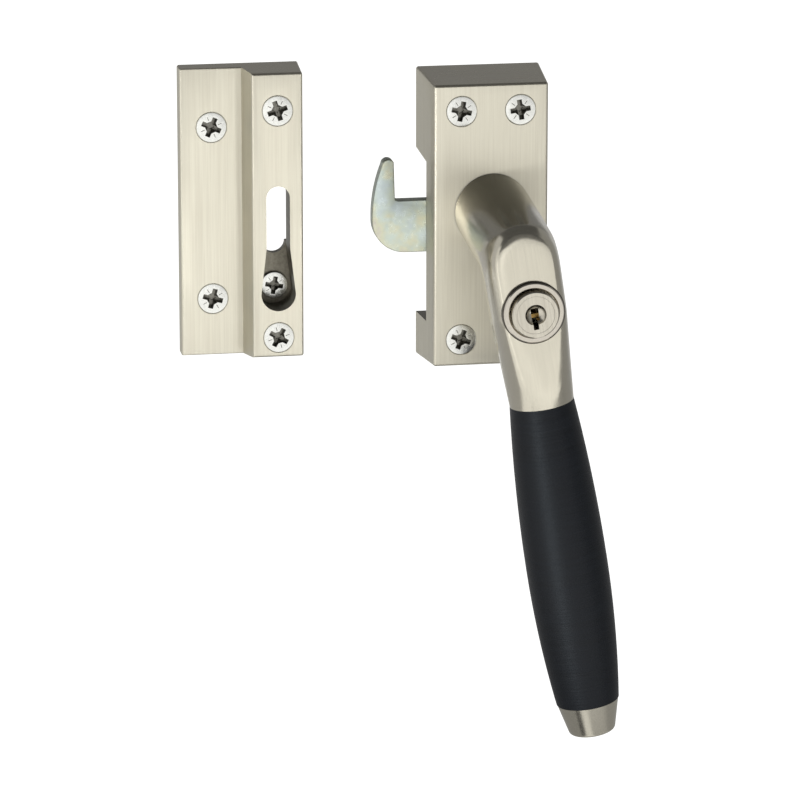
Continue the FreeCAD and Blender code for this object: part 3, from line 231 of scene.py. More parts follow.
link_all(tree, shader, {
    "Base Color": tinge.outputs["Color"], "Roughness": rough.outputs["Result"],
    "Normal": bump.outputs["Normal"]})
print("colours in the passivation:", len(stops))

# %% [markdown]
# Satin nickel is plate on a zinc casting. The housing and the keep are brushed upwards on
# their fronts. Their lines are about 0.1 mm wide, and are drawn at 0.22 mm here so that they
# show. Only the fronts get the spread, which draws a small lamp's light out into a broad, soft
# patch. The ends are brushed across and finer, so they show more of what stands round them,
# and the sides are coarser and look matt. Both are painted lighter than the fronts, so that
# they come out brighter in this light. The handle's two castings are polished before they
# are plated: their lines only just dull the mirror.

# %% Satin nickel
SWING = math.radians(9.0)  # the handle hangs this far aside, and its lines with it
SATIN_LINE, FINE_LINE = 0.22 * MM, 0.2 * MM
satin_nickel = brushed_metal("satin_nickel_brushed", "#c3bfb0", "#b9b4a5", 0.36, brushing=2,
                             width=SATIN_LINE, depth=0.008 * MM, spread=0.7)
# Painted light: the ends and the sides get a lighter colour than the fronts, so they come out
# brighter.
ends_painted_lighter_nickel = brushed_metal("satin_end_faces_painted_lighter", "#d4cfbf", "#cac4b5", 0.27, brushing=0,
                           width=0.26 * MM)
sides_painted_lighter_nickel = brushed_metal("satin_sides_painted_lighter", "#d0ccbe", "#c6c2b3", 0.50, brushing=2,
                            width=0.26 * MM)
lever_nickel = brushed_metal("satin_nickel_lever", "#c6c1b2", "#c0bbac", 0.21, brushing=2,
                             turn=SWING, width=FINE_LINE, depth=0.003 * MM)
cap_nickel = brushed_metal("satin_nickel_cap", "#c9c4b5", "#c4bfb0", 0.25, brushing=1,
                           turn=SWING, width=FINE_LINE, depth=0.002 * MM)
# Where the belt doesn't reach, the dull skin of the casting stays under the plate. Its dark grey
# is painted shade for the hollows.
hollow_nickel_painted_shade = brushed_metal("as_cast_hollow_painted_shade", "#827e72", "#6d695e", 0.42, brushing=1,
                            width=0.5 * MM)
print("satin nickel's lines are", round(SATIN_LINE / MM, 2), "mm wide")

# %% [markdown]
# The push lock is nickel too. Its collar is turned and polished, and mirrors like chrome but
# warmer. The barrel and the plug have a fine brushing across their faces, which greys them a
# little. The wall of the collar lies in the narrow gap to the lever, and it is painted nearly
# black as painted shade for that gap.

# %% Nickel on the push lock
polished_nickel = brushed_metal("polished_nickel", "#c3bdb2", "#b8b2a7", 0.16, brushing=1,
                                depth=0.004 * MM)
lock_nickel = brushed_metal("brushed_nickel_lock", "#c4bfb2", "#b2ac9f", 0.22, brushing=2,
                            turn=SWING, depth=0.006 * MM)
# Painted shade: the collar's wall is coloured near black for the shade in the gap to the lever.
painted_gap_shade_nickel = brushed_metal("painted_gap_shade_on_collar_wall", "#57524a", "#47433c", 0.35, brushing=1)
print("on the lock:", [metal.name for metal in (polished_nickel, lock_nickel, painted_gap_shade_nickel)])

# %% [markdown]
# The plain metals come next. Bright zinc plate on steel is cold and pale. The hook's sheared
# edge is torn more than cut, so it is greyer and matt. A screw's recess is punched and dull,
# and its darker grey is painted shade for the hollow. The springs and the set screw are steel
# that was blackened in hot salts, and the pieces that rub, such as the bush, are plain brass
# with a warm shine.

# %% Zinc, steel and brass
zinc_plate = brushed_metal("bright_zinc_plate", "#c4cbc0", "#bcc4bc", 0.30, brushing=0,
                           width=0.5 * MM)
sheared_zinc = brushed_metal("sheared_zinc_edge", "#b4bab1", "#a1a79e", 0.42, brushing=1,
                             width=0.4 * MM)
screw_zinc = brushed_metal("bright_zinc_screw", "#dadad4", "#cececa", 0.24, brushing=1,
                           depth=0.004 * MM)
# Painted shade: the recess is coloured darker grey for the shade that falls in it.
recess_shade_zinc = brushed_metal("recess_zinc_painted_shade", "#908e86", "#76746c", 0.42, brushing=1,
                             depth=0.004 * MM)
dark_steel = brushed_metal("blackened_steel", "#4a4a4c", "#3e3e40", 0.4, brushing=1)
brass = brushed_metal("plain_brass", "#b3935a", "#9c7d45", 0.38, brushing=2, width=0.4 * MM)
for metal in (zinc_plate, sheared_zinc, screw_zinc, recess_shade_zinc, dark_steel, brass):
    print("made", metal.name)

# %% [markdown]
# The grip is turned hardwood, stained black and finished with a satin lacquer. Lacquer over
# black stain looks blue-black. A satin lacquer scatters most of its shine, so the specular
# level is low and the sheen soft and broad. The turning tool leaves fine rings round the
# wood, which the lacquer only half fills. They lie a few tenths of a millimetre apart, and are
# drawn 1.3 mm apart here so that they show. A noise that hardly changes across the grip makes
# them.

# %% Black lacquered grip
RING = 1.3 * MM
grip_black, tree, shader = new_material("black_lacquered_grip", {
    "Metallic": 0.0, "IOR": 1.5, "Specular IOR Level": 0.20})
place = add_node(tree, "ShaderNodeTexCoord")
turned = add_node(tree, "ShaderNodeMapping", {}, {"Rotation": (0.0, SWING, 0.0)},
                  {"Vector": place.outputs["Object"]})
along = add_node(tree, "ShaderNodeMapping", {}, {"Scale": (0.03, 0.03, 1.0)},
                 {"Vector": turned.outputs["Vector"]})
rings = add_node(tree, "ShaderNodeTexNoise", {},
                 {"Scale": 1.0 / RING, "Detail": 5.0, "Roughness": 0.7},
                 {"Vector": along.outputs["Vector"]})
stain = add_node(tree, "ShaderNodeMix", {"data_type": "RGBA"},
                 {MIX_FIRST: linear("#06080b"), MIX_SECOND: linear("#12161c")},
                 {MIX_FACTOR: rings.outputs["Fac"]})
rough = add_node(tree, "ShaderNodeMapRange", {}, {"To Min": 0.36, "To Max": 0.52},
                 {"Value": rings.outputs["Fac"]})
bump = add_node(tree, "ShaderNodeBump", {}, {"Strength": 0.8, "Distance": 0.16 * MM},
                {"Height": rings.outputs["Fac"]})
link_all(tree, shader, {
    "Base Color": stain.outputs[MIX_RESULT], "Roughness": rough.outputs["Result"],
    "Normal": bump.outputs["Normal"]})
print("rings in the grip:", round(RING / MM, 1), "mm apart")

# %% [markdown]
# The washer between the lever and the housing is moulded nylon. It comes from a smooth mould
# and is an even, charcoal black with a dull shine, so it needs no pattern at all.

# %% Moulded nylon
moulded_nylon, _, _ = new_material("moulded_black_nylon", {
    "Base Color": linear("#26272a"), "Roughness": 0.5, "IOR": 1.53})
print("made", moulded_nylon.name)

# %% [markdown]
# The CAD model's pieces are already the right shape. Each gets a copy whose loose triangles
# are welded, so that its curved faces can be shaded smoothly while its sharp edges stay
# sharp. The copy stands for the CAD piece and rides on the same body.

# %% A copy of a CAD piece
BODIES = frame["record"]["behaviour"]["bodies"]
BODY_OF = {node: body for body, members in BODIES.items() for node in members}
WELD = 0.002 * MM  # points that are nearer than this become one
SHARP_OVER = 30.0  # degrees


def shade_smooth(form, sharp_over):
    """Smooth faces, with a sharp line where an edge turns by more than this many degrees."""
    limit = math.radians(sharp_over)
    for edge in form.edges:
        edge.smooth = len(edge.link_faces) == 2 and edge.calc_face_angle(0.0) < limit
    for face in form.faces:
        face.smooth = True


def dress(node, material, shape=None):
    """A welded, smooth-shaded copy of a CAD node that stands for it; shape may refine it."""
    mesh = frame["nodes"][node].data.copy()
    shell = bmesh.new()
    shell.from_mesh(mesh)
    bmesh.ops.remove_doubles(shell, verts=shell.verts, dist=WELD)
    if shape:
        shape(shell)
    shade_smooth(shell, SHARP_OVER)
    shell.to_mesh(mesh)
    shell.free()
    mesh.materials.clear()
    mesh.materials.append(material)
    piece = bpy.data.objects.new(node + "_dressed", mesh)
    bpy.context.scene.collection.objects.link(piece)
    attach(piece, BODY_OF[node])
    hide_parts(node)
    return piece


print("pieces on each body:", {body: len(members) for body, members in BODIES.items()})

# %% [markdown]
# Nearly every piece has one finish, so a table of nodes and materials dresses them. Many of
# them are hidden inside the lock. They get their finish too, for a view of the open lock.

# %% Dress the plain pieces
DRESSING = {
    "housing": satin_nickel, "end_cap": cap_nickel, "lever": lever_nickel,
    "back_plate": zinc_plate, "back_plate_rivets": screw_zinc, "spindle": zinc_plate,
    "spring_washer": dark_steel, "lock_spring": dark_steel, "lever_set_screw": dark_steel,
    "lock_barrel": lock_nickel, "lock_plug": lock_nickel, "lock_wafers": brass,
    "plug_clip": zinc_plate, "lock_catch": brass, "locking_bolt": zinc_plate,
    "spindle_bush": brass, "neck_washer": moulded_nylon, "grip_rod": zinc_plate,
    "grip": grip_black,
}
for node, material in DRESSING.items():
    dress(node, material)
print("dressed", len(DRESSING), "pieces")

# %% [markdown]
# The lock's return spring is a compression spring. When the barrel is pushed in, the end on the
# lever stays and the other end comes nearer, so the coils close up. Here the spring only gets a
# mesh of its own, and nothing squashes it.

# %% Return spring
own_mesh(bpy.data.objects["lock_spring_dressed"])

# %% [markdown]
# Some pieces have a second finish on some of their faces. One helper gives a material to the
# faces that pass a test. It hands the test the middle of each face, in millimetres, and the
# direction that the face looks in.

# %% A second finish
def paint_where(piece, material, inside):
    """Gives this second material to the faces that pass the test."""
    piece.data.materials.append(material)
    painted = 0
    for face in piece.data.polygons:
        if inside(*(face.center / MM), face.normal):
            face.material_index = len(piece.data.materials) - 1
            painted += 1
    print(piece.name, painted, "faces in", material.name)


# %% [markdown]
# The housing and the keep are the two big castings. The keep tapers towards its face so that
# it leaves its mould, and its thin flange leans in at both ends by as much as its block does.
# On both castings the ends and the sides get their own brushing and a colour painted lighter
# than the fronts'. The test goes by the direction of the faces, and the limits leave the
# rounded corners with the front.

# %% Castings
KEEP_TOP, KEEP_BOTTOM = 45.2, -39.4
KEEP_DRAFT = 0.8 / 13.0  # its ends lean in by 0.8 mm over its 13 mm
END_FROM, SIDE_FROM = 0.7, 0.85  # how squarely a face must look up or down, or sideways


def draft_ends(shell):
    """Leans the flange's top and bottom in by as much as the block's, so that they are flush."""
    for vert in shell.verts:
        inward = -vert.co.y * KEEP_DRAFT
        vert.co.z = max(min(vert.co.z, KEEP_TOP * MM - inward), KEEP_BOTTOM * MM + inward)


def on_an_end(x, y, z, normal):
    return abs(normal.z) > END_FROM


def on_a_side(x, y, z, normal):
    return abs(normal.x) > SIDE_FROM


housing = bpy.data.objects["housing_dressed"]
keep = dress("keep", satin_nickel, shape=draft_ends)
for casting in (housing, keep):
    # The ends and the sides get the nickel that is painted lighter.
    paint_where(casting, ends_painted_lighter_nickel, on_an_end)
    paint_where(casting, sides_painted_lighter_nickel, on_a_side)

# %% [markdown]
# The belt can't reach into the keep's keyhole, nor onto the ledge at the foot of the
# housing's side recess. Both stay as they came from the mould, which is duller than the brushed
# faces, and they are painted darker as painted shade for these hollows. Here the test goes by
# place, so the limits are in millimetres.

# %% As-cast hollows, with painted shade
KEYHOLE_MIDDLE, KEYHOLE_HALF = -60.1, 5.2  # across
KEYHOLE_DEEP, KEYHOLE_TALL = (-12.7, -0.5), (-25.4, 19.2)
LEDGE_HEIGHT, LEDGE_FLAT = -29.8, 0.1  # up, and how near a face must be to it
LEDGE_EDGE, LEDGE_FRONT = -12.0, -15.0


def in_keyhole(x, y, z, normal):
    return (abs(x - KEYHOLE_MIDDLE) < KEYHOLE_HALF and KEYHOLE_TALL[0] < z < KEYHOLE_TALL[1]
            and KEYHOLE_DEEP[0] < y < KEYHOLE_DEEP[1])


def on_recess_ledge(x, y, z, normal):
    return abs(z - LEDGE_HEIGHT) < LEDGE_FLAT and x < LEDGE_EDGE and y > LEDGE_FRONT


# Painted shade: these hollows are coloured darker than the brushed faces.
paint_where(housing, hollow_nickel_painted_shade, on_recess_ledge)
paint_where(keep, hollow_nickel_painted_shade, in_keyhole)

# %% [markdown]
# The hook is stamped from steel plate. The punch drags the metal with it, so the outline of
# the front is rolled over and the wall behind it is sheared. A bevel along the outline rounds
# it. The CAD mesh's flat faces are first joined again, so that the bevel meets plain edges and
# no stray triangles.

# %% Stamped hook
ROLL = 0.35 * MM
ROLL_STEPS = 3
FLAT_WITHIN, CORNER_OVER = math.radians(0.5), math.radians(45)
SHEARED_BEHIND = 0.3  # mm behind the hook's front face


def roll_edges(shell):
    """Rounds the front outline of a stamped plate."""
    bmesh.ops.dissolve_limit(shell, angle_limit=FLAT_WITHIN, verts=shell.verts,
                             edges=shell.edges)
    front = min(vert.co.y for vert in shell.verts) + 0.01 * MM
    outline = [edge for edge in shell.edges if all(vert.co.y < front for vert in edge.verts)
               and len(edge.link_faces) == 2 and edge.calc_face_angle(0.0) > CORNER_OVER]
    bmesh.ops.bevel(shell, geom=outline, offset=ROLL, offset_type="OFFSET", affect="EDGES",
                    segments=ROLL_STEPS, profile=0.5, material=-1)


hook = dress("hook", hook_zinc, shape=roll_edges)
hook_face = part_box("hook")[0][1] / MM
paint_where(hook, sheared_zinc, lambda x, y, z, normal: y > hook_face + SHEARED_BEHIND)

# %% [markdown]
# The polished collar is pressed into the lever. Its wall lies in the dark line between the two,
# and is painted dark as the shade there. Only the faces of the wall have their middles more
# than 8.62 mm from the lock's axis, so the test is a distance from that axis.

# %% Lock collar
LOCK_AXIS = Vector((3.525, 0.0, -14.470))
COLLAR_WALL = 8.62


def on_collar_wall(x, y, z, normal):
    return math.hypot(x - LOCK_AXIS.x, z - LOCK_AXIS.z) > COLLAR_WALL


collar = dress("lock_collar", polished_nickel)
# The wall's faces get the painted shade of the gap.
paint_where(collar, painted_gap_shade_nickel, on_collar_wall)

# %% [markdown]
# CAD kept the screws plain. A real countersunk screw is headed from wire, and then its thread
# is rolled. It is round, so its body here is a half profile that is spun about the axis. Two
# small helpers do the spin and turn a bmesh into an object.

# %% Spun forms
SEAM = 0.0005 * MM  # points on the axis that are nearer than this become one
SCREW_SHARP_OVER = 32.0  # degrees


def spun(profile, steps=56):
    """A closed half profile of (radius, depth) points in metres, spun about the Y axis."""
    form = bmesh.new()
    points = [form.verts.new((radius, depth, 0.0)) for radius, depth in profile]
    lines = [form.edges.new(pair) for pair in zip(points, points[1:])]
    bmesh.ops.spin(form, geom=points + lines, cent=(0, 0, 0), axis=(0, 1, 0), angle=math.tau,
                   steps=steps, use_merge=True)
    bmesh.ops.remove_doubles(form, verts=form.verts, dist=SEAM)
    bmesh.ops.recalc_face_normals(form, faces=form.faces)
    return form


def to_object(form, name, material=None):
    """A mesh object made from a bmesh, smooth-shaded where its edges are blunt."""
    shade_smooth(form, SCREW_SHARP_OVER)
    mesh = bpy.data.meshes.new(name)
    form.to_mesh(mesh)
    form.free()
    if material:
        mesh.materials.append(material)
    piece = bpy.data.objects.new(name, mesh)
    bpy.context.scene.collection.objects.link(piece)
    return piece


# %% [markdown]
# The driver's recess is punched: a cross whose arms narrow as they go in, a hub where they
# meet, and four short ticks between the arms. Each arm is a box whose far end is scaled down,
# and the hub is a short profile spun in four steps. They are all cut out of the head with
# Boolean modifiers. Their sizes are shares of the head's radius, so a smaller screw gets a
# smaller cross.

# %% Cutters
def add_bar(form, width, length, depth, turn, taper, start=0.0):
    """A bar across the axis, from just in front of the head into it, narrower at its far end."""
    made = bmesh.ops.create_cube(form, size=1.0)["verts"]
    bmesh.ops.scale(form, vec=(width, depth * 2, length), verts=made)
    deep = [vert for vert in made if vert.co.y > 0]
    bmesh.ops.scale(form, vec=(taper, 1.0, taper), verts=deep)
    bmesh.ops.translate(form, vec=(0, 0, start), verts=made)
    bmesh.ops.rotate(form, cent=(0, 0, 0), matrix=Matrix.Rotation(turn, 3, "Y"), verts=made)


def cut_away(piece, cutter):
    """Cuts one object with another and leaves a plain mesh."""
    cut = piece.modifiers.new("cut", "BOOLEAN")
    cut.operation = "DIFFERENCE"
    cut.solver = "EXACT"
    cut.object = cutter
    bpy.context.view_layer.update()
    finished = piece.evaluated_get(bpy.context.evaluated_depsgraph_get())
    mesh = bpy.data.meshes.new_from_object(finished)
    piece.modifiers.clear()
    piece.data = mesh
    bpy.data.objects.remove(cutter)


# %% [markdown]
# With the cutters ready, the recess takes three rounds: the two bars of the cross, the hub,
# and the ticks at 45 degrees to the arms.

# %% Cross recess
ARM_WIDTH, ARM_LENGTH, ARM_DEPTH, ARM_TAPER = 0.42, 1.68, 0.58, 0.6
HUB = [(0.0, -0.2), (0.60, -0.2), (0.54, 0.0), (0.24, 0.66), (0.0, 0.66)]
TICK_WIDTH, TICK_LENGTH, TICK_DEPTH, TICK_START = 0.045, 0.26, 0.035, 0.60
QUARTER = math.pi / 2


def cut_recess(screw, head):
    """Punches the cross, its hub and its ticks into a screw with a head of this radius."""
    for arm in range(2):
        bar = bmesh.new()
        add_bar(bar, head * ARM_WIDTH, head * ARM_LENGTH, head * ARM_DEPTH, QUARTER * arm,
                ARM_TAPER)
        cut_away(screw, to_object(bar, "cross_cutter"))
    hub = spun([(head * radius, head * depth) for radius, depth in HUB], 4)
    cut_away(screw, to_object(hub, "hub_cutter"))
    for mark in range(4):
        tick = bmesh.new()
        add_bar(tick, head * TICK_WIDTH, head * TICK_LENGTH, head * TICK_DEPTH,
                QUARTER / 2 + QUARTER * mark, 1.0, head * TICK_START)
        cut_away(screw, to_object(tick, "tick_cutter"))


print("an arm of the cross is", ARM_WIDTH, "of the head's radius wide")

# %% [markdown]
# The thread is a small triangle that is spun and moved along the axis at the same time. Its
# pitch is 1.8 mm, about that of a wood screw of this size, and it stops where the point
# begins. A real thread grows out of the core, so the triangle starts a little below the
# core's surface.

# %% Thread
THREAD_DEPTH = 0.5 * MM
PITCH = 1.8 * MM
POINT = 4.5 * MM  # the length of the screw's pointed end
RIDGE_HALF, RIDGE_SUNK, RIDGE_SHY = 0.32 * MM, 0.05 * MM, 0.02 * MM
THREAD_STEPS = 20  # for each turn


def thread_form(shank, seated, reach):
    """A ridge that winds along a screw, from where its plain shank ends."""
    ridge = bmesh.new()
    turns = int((reach - POINT) / PITCH)
    foot = shank - THREAD_DEPTH - RIDGE_SUNK
    corners = [ridge.verts.new(place) for place in (
        (foot, seated - RIDGE_HALF, 0.0), (shank - RIDGE_SHY, seated, 0.0),
        (foot, seated + RIDGE_HALF, 0.0))]
    loop = [ridge.edges.new(pair) for pair in zip(corners, corners[1:] + corners[:1])]
    steps = THREAD_STEPS * turns
    bmesh.ops.spin(ridge, geom=corners + loop, cent=(0, 0, 0), axis=(0, 1, 0),
                   angle=math.tau * turns, dvec=(0, PITCH * turns / steps, 0), steps=steps,
                   use_merge=False)
    ends = [edge for edge in ridge.edges if edge.is_boundary]
    bmesh.ops.holes_fill(ridge, edges=ends, sides=3)
    bmesh.ops.recalc_face_normals(ridge, faces=ridge.faces)
    return ridge


print("the thread's pitch is", round(PITCH / MM, 1), "mm")

# %% [markdown]
# One whole screw stands at the origin with its head's face on y = 0 and its point along +Y.
# From the face inwards its profile has a slightly rounded rim, the 45 degree cone that sits in
# the countersink, the plain shank in the casting, the core below the thread, and the point.

# %% Whole screw
RIM = 0.15 * MM
RIM_ROUND = [(0.25 * MM, 0.0), (0.07 * MM, 0.04 * MM)]  # in from the edge, down from the face
RUN_OUT = 0.6 * MM  # over this length the shank goes down to the core
TIP = 0.1 * MM


def screw_form(head, shank, seated, reach):
    """A countersunk screw with recess and thread: seated is its length inside the casting."""
    core, end = shank - THREAD_DEPTH, seated + reach
    rim = [(head - inset, depth) for inset, depth in RIM_ROUND]
    body = spun([(0.0, 0.0)] + rim + [
        (head, RIM), (shank, RIM + head - shank), (shank, seated - RUN_OUT), (core, seated),
        (core, end - POINT), (TIP, end), (0.0, end)])
    screw = to_object(body, "screw_blank")
    cut_recess(screw, head)
    thread = to_object(thread_form(shank, seated, reach), "thread_blank")
    form = bmesh.new()
    for piece in (screw, thread):
        form.from_mesh(piece.data)
        bpy.data.objects.remove(piece)
    return form


# %% [markdown]
# All the screws of one node are copies of one screw, each moved into its countersink and
# turned about its own axis, since no two screws are driven home at the same angle. The faces
# of the recess get the punched finish, whose darker grey is painted shade. They are those
# below the head's face that lie inside a cone round the axis.

# %% Screws of a node
SKIN = 0.03 * MM  # the recess starts this far below the face
RECESS_DEEP, RECESS_RADIUS, RECESS_LEAN = 0.75, 0.68, 0.4


def in_recess(inward, head):
    """Whether a place, seen from the middle of a head of this radius, lies in its recess."""
    limit = head * RECESS_RADIUS - inward.y * RECESS_LEAN
    return SKIN < inward.y < head * RECESS_DEEP and math.hypot(inward.x, inward.z) < limit


def add_screws(node, head, shank, seated, reach, places):
    """The screws of one node: places hold (across, front, up, turn of the recess in degrees)."""
    whole = bmesh.new()
    blank = screw_form(head * MM, shank * MM, seated * MM, reach * MM)
    blank_mesh = bpy.data.meshes.new("blank")
    blank.to_mesh(blank_mesh)
    blank.free()
    for across, front, up, turn in places:
        before = set(whole.verts)
        whole.from_mesh(blank_mesh)
        new = [vert for vert in whole.verts if vert not in before]
        spot = Matrix.Translation(Vector((across, -front, up)) * MM)
        turned_spot = spot @ Matrix.Rotation(math.radians(turn), 4, "Y")
        bmesh.ops.transform(whole, matrix=turned_spot, verts=new)
    bpy.data.meshes.remove(blank_mesh)
    piece = to_object(whole, node + "_turned", screw_zinc)
    # The recess faces get the darker grey of painted shade.
    piece.data.materials.append(recess_shade_zinc)
    heads = [Vector((across, -front, up)) * MM for across, front, up, turn in places]
    for face in piece.data.polygons:
        if any(in_recess(face.center - middle, head * MM) for middle in heads):
            face.material_index = 1
    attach(piece, BODY_OF[node])
    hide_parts(node)
    print(node, len(piece.data.polygons), "faces")
    return piece


# %% [markdown]
# Four screws hold the housing, two go through the keep's thin flange and two through its
# block, and a smaller one holds the floor of its keyhole. The numbers are the radius of the
# head and of the shank, the length in the casting and the length in the wood, in millimetres.

# %% All the screws
add_screws("housing_screws", 4.35, 2.25, 22.0, 16.0, [
    (-8.5, 22.0, 33.4, 12), (8.5, 22.0, 33.4, -8), (-8.5, 22.0, -33.4, 20),
    (8.5, 22.0, -33.4, 5)])
add_screws("keep_flange_screws", 4.35, 2.25, 5.0, 16.0, [
    (-78.1, 5.0, 27.7, 24), (-78.1, 5.0, -22.6, 15)])
add_screws("keep_block_screws", 4.35, 2.25, 13.0, 16.0, [
    (-60.1, 13.0, 33.5, -18), (-60.1, 13.0, -32.9, 30)])
add_screws("keep_floor_screw", 3.9, 1.75, 3.9, 14.0, [(-60.1, 3.9, -19.6, 10)])

# %% [markdown]
# The studio is a white world with a pale floor below the lock. To the light that bounces off
# them both are plain, pale paint. A camera ray, and a ray that metal or glass sends on, see
# them as white, so the background is white without more light on the object. The nodes that
# tell such rays apart are the same in both, so one function adds them.

# %% World
FILL = 0.6


def seen_directly(tree):
    """One where a ray comes from the camera, from a mirroring surface or through glass."""
    path = add_node(tree, "ShaderNodeLightPath")
    either = add_node(tree, "ShaderNodeMath", {"operation": "MAXIMUM"}, {},
                      {0: path.outputs["Is Camera Ray"], 1: path.outputs["Is Glossy Ray"]})
    return add_node(tree, "ShaderNodeMath", {"operation": "MAXIMUM"}, {},
                    {0: either.outputs[0], 1: path.outputs["Is Transmission Ray"]}).outputs[0]


world = bpy.data.worlds.new("studio")
world.use_nodes = True
bpy.context.scene.world = world
tree = world.node_tree
fill = tree.nodes["Background"]
fill.inputs["Color"].default_value = linear("#ffffff")
fill.inputs["Strength"].default_value = FILL
white = add_node(tree, "ShaderNodeBackground", {},
                 {"Color": linear("#ffffff"), "Strength": 1.0})
mixed = add_node(tree, "ShaderNodeMixShader", {}, {},
                 {0: seen_directly(tree), 1: fill.outputs[0], 2: white.outputs[0]})
link_all(tree, tree.nodes["World Output"], {"Surface": mixed.outputs[0]})
print("the world lights the lock with a strength of", FILL)

# %% [markdown]
# The studio's floor and its cards are all flat panels: a one-cell grid that is scaled, turned
# to face its way and moved into place.

# %% Panels
def add_panel(name, place, facing, width, height, material, spin=0.0):
    """A flat panel of the studio, spun in its own plane, which isn't part of the lock."""
    panel = bmesh.new()
    bmesh.ops.create_grid(panel, x_segments=1, y_segments=1, size=0.5)
    bmesh.ops.scale(panel, vec=(width, height, 1.0), verts=panel.verts)
    turn = Vector(facing).to_track_quat("Z", "Y").to_matrix().to_4x4()
    spot = Matrix.Translation(place) @ turn @ Matrix.Rotation(spin, 4, "Z")
    bmesh.ops.transform(panel, matrix=spot, verts=panel.verts)
    mesh = bpy.data.meshes.new(name)
    panel.to_mesh(mesh)
    panel.free()
    mesh.materials.append(material)
    piece = bpy.data.objects.new(name, mesh)
    bpy.context.scene.collection.objects.link(piece)
    return piece


# %% [markdown]
# The floor is matt, off-white paint. For the rays that see it directly it adds a white glow to
# its own shading. The sum is white, and it is a little less than white only where the lock
# keeps light off the floor, so a faint shadow stays.

# %% Floor
FLOOR, FLOOR_SIZE, FLOOR_GLOW = -0.55, 10.0, 0.6
UP, DOWN = (0.0, 0.0, 1.0), (0.0, 0.0, -1.0)
floor_paint, tree, shader = new_material("floor_paint", {
    "Base Color": linear("#f4f4f2"), "Roughness": 0.9, "Specular IOR Level": 0.0})
glow = add_node(tree, "ShaderNodeEmission", {},
                {"Color": linear("#ffffff"), "Strength": FLOOR_GLOW})
both = add_node(tree, "ShaderNodeAddShader", {}, {}, {0: shader.outputs[0], 1: glow.outputs[0]})
mixed = add_node(tree, "ShaderNodeMixShader", {}, {},
                 {0: seen_directly(tree), 1: shader.outputs[0], 2: both.outputs[0]})
link_all(tree, tree.nodes["Material Output"], {"Surface": mixed.outputs[0]})
add_panel("floor", (0.0, 0.0, FLOOR), UP, FLOOR_SIZE, FLOOR_SIZE, floor_paint)
print("floor at", FLOOR, "m")

# %% [markdown]
# Metal has no colour of its own worth speaking of: it shows what stands around it. With white
# all round, nickel looks like paper. A photographer therefore hangs a black flag overhead and
# stands grey cards at the sides. They darken the tops and flanks and leave the front bright.
# Here they show in reflections only, so they neither shade the lock nor hide it in any view.

# %% Cards around the lock
INWARD, TO_ROOM = (0.0, 1.0, 0.0), (0.0, -1.0, 0.0)
LEFTWARD, RIGHTWARD = (-1.0, 0.0, 0.0), (1.0, 0.0, 0.0)


def add_card(name, place, facing, width, height, grey, spin=0.0):
    """A card of one even grey that only a reflection shows."""
    paper, _, _ = new_material(name + "_paper", {
        "Base Color": linear("#000000"), "Specular IOR Level": 0.0,
        "Emission Color": linear("#ffffff"), "Emission Strength": grey})
    card = add_panel(name, place, facing, width, height, paper, spin)
    card.visible_camera = False
    card.visible_diffuse = False
    card.visible_shadow = False
    card.visible_transmission = False


add_card("overhead_flag", (0.0, -0.15, 0.65), DOWN, 2.2, 1.9, 0.12)
add_card("front_flag", (0.0, -1.05, 0.40), INWARD, 2.2, 0.50, 0.20)
add_card("rear_flag", (0.0, 0.72, 0.36), TO_ROOM, 2.2, 0.56, 0.24)
add_card("rear_card", (0.0, 0.72, -0.11), TO_ROOM, 2.2, 0.36, 0.58)
add_card("right_card", (0.60, 0.1, 0.15), LEFTWARD, 1.4, 0.88, 0.38)
add_card("left_card", (-0.70, 0.30, 0.15), RIGHTWARD, 0.9, 0.88, 0.72)
print("cards hung so far:", len([item for item in bpy.data.materials if "_paper" in item.name]))

# %% [markdown]
# The lever's elbow and the end cap look down as well, and mirror the table. A grey card lies
# under the lock, with a darker one along its right edge, and four small ones stand in for what
# the cap mirrors: a dark strip and a white one that cross it as its two crisp lines, a shade
# to its left and a middle grey to its right.

# %% Cards below the lock
add_card("table_card", (0.050, 0.295, -0.285), UP, 1.20, 0.71, 0.50)
add_card("cap_strip", (-0.035, -0.107, -0.180), UP, 0.018, 0.090, 0.03, math.radians(-50))
add_card("cap_glint", (-0.004, -0.116, -0.181), UP, 0.028, 0.100, 1.00, math.radians(-30))
add_card("cap_shade", (-0.045, 0.000, -0.182), UP, 0.110, 0.170, 0.33)
add_card("cap_card", (0.045, -0.100, -0.184), UP, 0.100, 0.070, 0.50)
add_card("table_edge", (0.42, 0.075, -0.282), UP, 0.46, 0.65, 0.36)
print("cards in all:", len([item for item in bpy.data.materials if "_paper" in item.name]))

# %% [markdown]
# Two soft lamps give the plain light: a large one in front and a little low, which the front
# faces mirror, and one from the upper right, which isn't mirrored at all. Together with the
# world they light a face about once, so that a colour comes out as it is written.

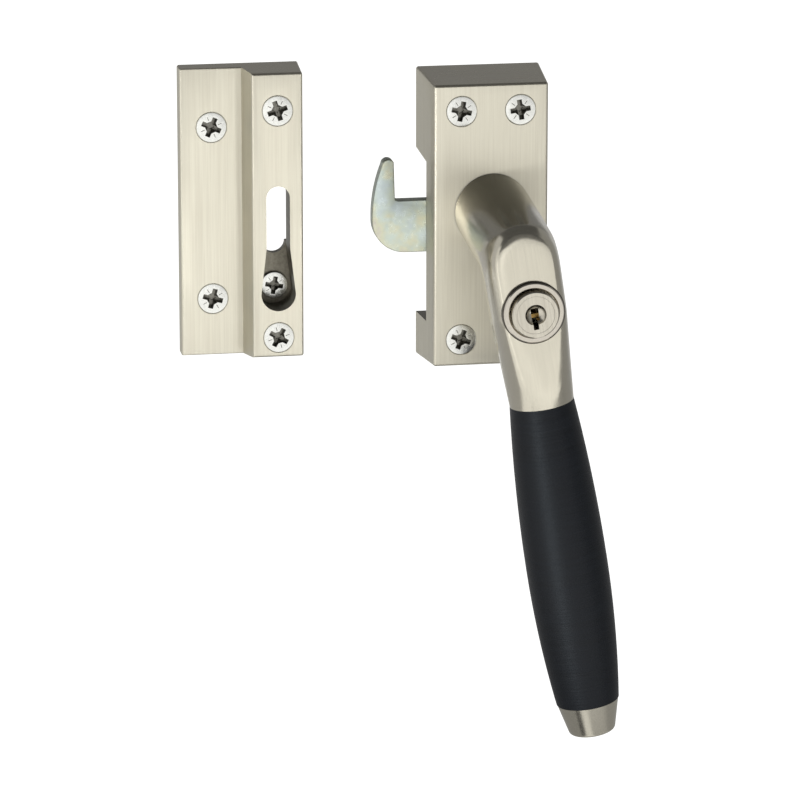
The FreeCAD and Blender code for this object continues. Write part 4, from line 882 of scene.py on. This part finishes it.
# %% Plain light
def add_lamp(name, place, width, height, watts):
    """A soft lamp of this width and height that shines at the middle of the lock."""
    lamp = bpy.data.lights.new(name, "AREA")
    lamp.shape = "RECTANGLE"
    lamp.size = width
    lamp.size_y = height
    lamp.energy = watts
    piece = bpy.data.objects.new(name, lamp)
    piece.location = place
    piece.rotation_euler = (Vector(place) - aim).to_track_quat("Z", "Y").to_euler()
    piece.visible_camera = False
    bpy.context.scene.collection.objects.link(piece)
    return piece


add_lamp("front_lamp", (-0.12, -1.25, -0.12), 0.5, 0.4, 0.29)
upper_lamp = add_lamp("upper_lamp", (0.6, -1.5, 0.9), 0.8, 0.8, 11.0)
upper_lamp.visible_glossy = False

# %% [markdown]
# Five narrow lamps each light one piece, as lamps behind a snoot do in a studio. A tall,
# slightly blue one draws the long sheen down the grip. The key lamp stands at the left, and
# the brushing spreads its light over the housing's front. One at the right brightens the
# keep's front faces and one at the left its slope, and a tall one at the far left draws the
# light line along the lever's edge.

# %% Lamps for single pieces
def only_on(lamp, piece_name):
    """Links a lamp to this piece alone, as a snoot in front of it would."""
    lit = bpy.data.collections.new(lamp.name + "_pieces")
    lit.objects.link(bpy.data.objects[piece_name])
    lamp.light_linking.receiver_collection = lit


sheen_lamp = add_lamp("sheen_lamp", (-0.50, -0.70, -0.43), 0.30, 0.60, 3.6)
sheen_lamp.data.color = linear("#e2f0fa")[:3]
only_on(sheen_lamp, "grip_dressed")
key_lamp = add_lamp("key_lamp", (-0.42, -0.90, -0.14), 0.10, 0.10, 1.3)
only_on(key_lamp, "housing_dressed")
keep_lamp = add_lamp("keep_lamp", (0.33, -0.88, -0.21), 0.10, 0.10, 0.42)
only_on(keep_lamp, "keep_dressed")
slope_lamp = add_lamp("slope_lamp", (-0.57, -0.81, -0.155), 0.10, 0.10, 0.52)
only_on(slope_lamp, "keep_dressed")
edge_lamp = add_lamp("edge_lamp", (-0.66, -0.55, -0.36), 0.12, 0.60, 0.22)
only_on(edge_lamp, "lever_dressed")
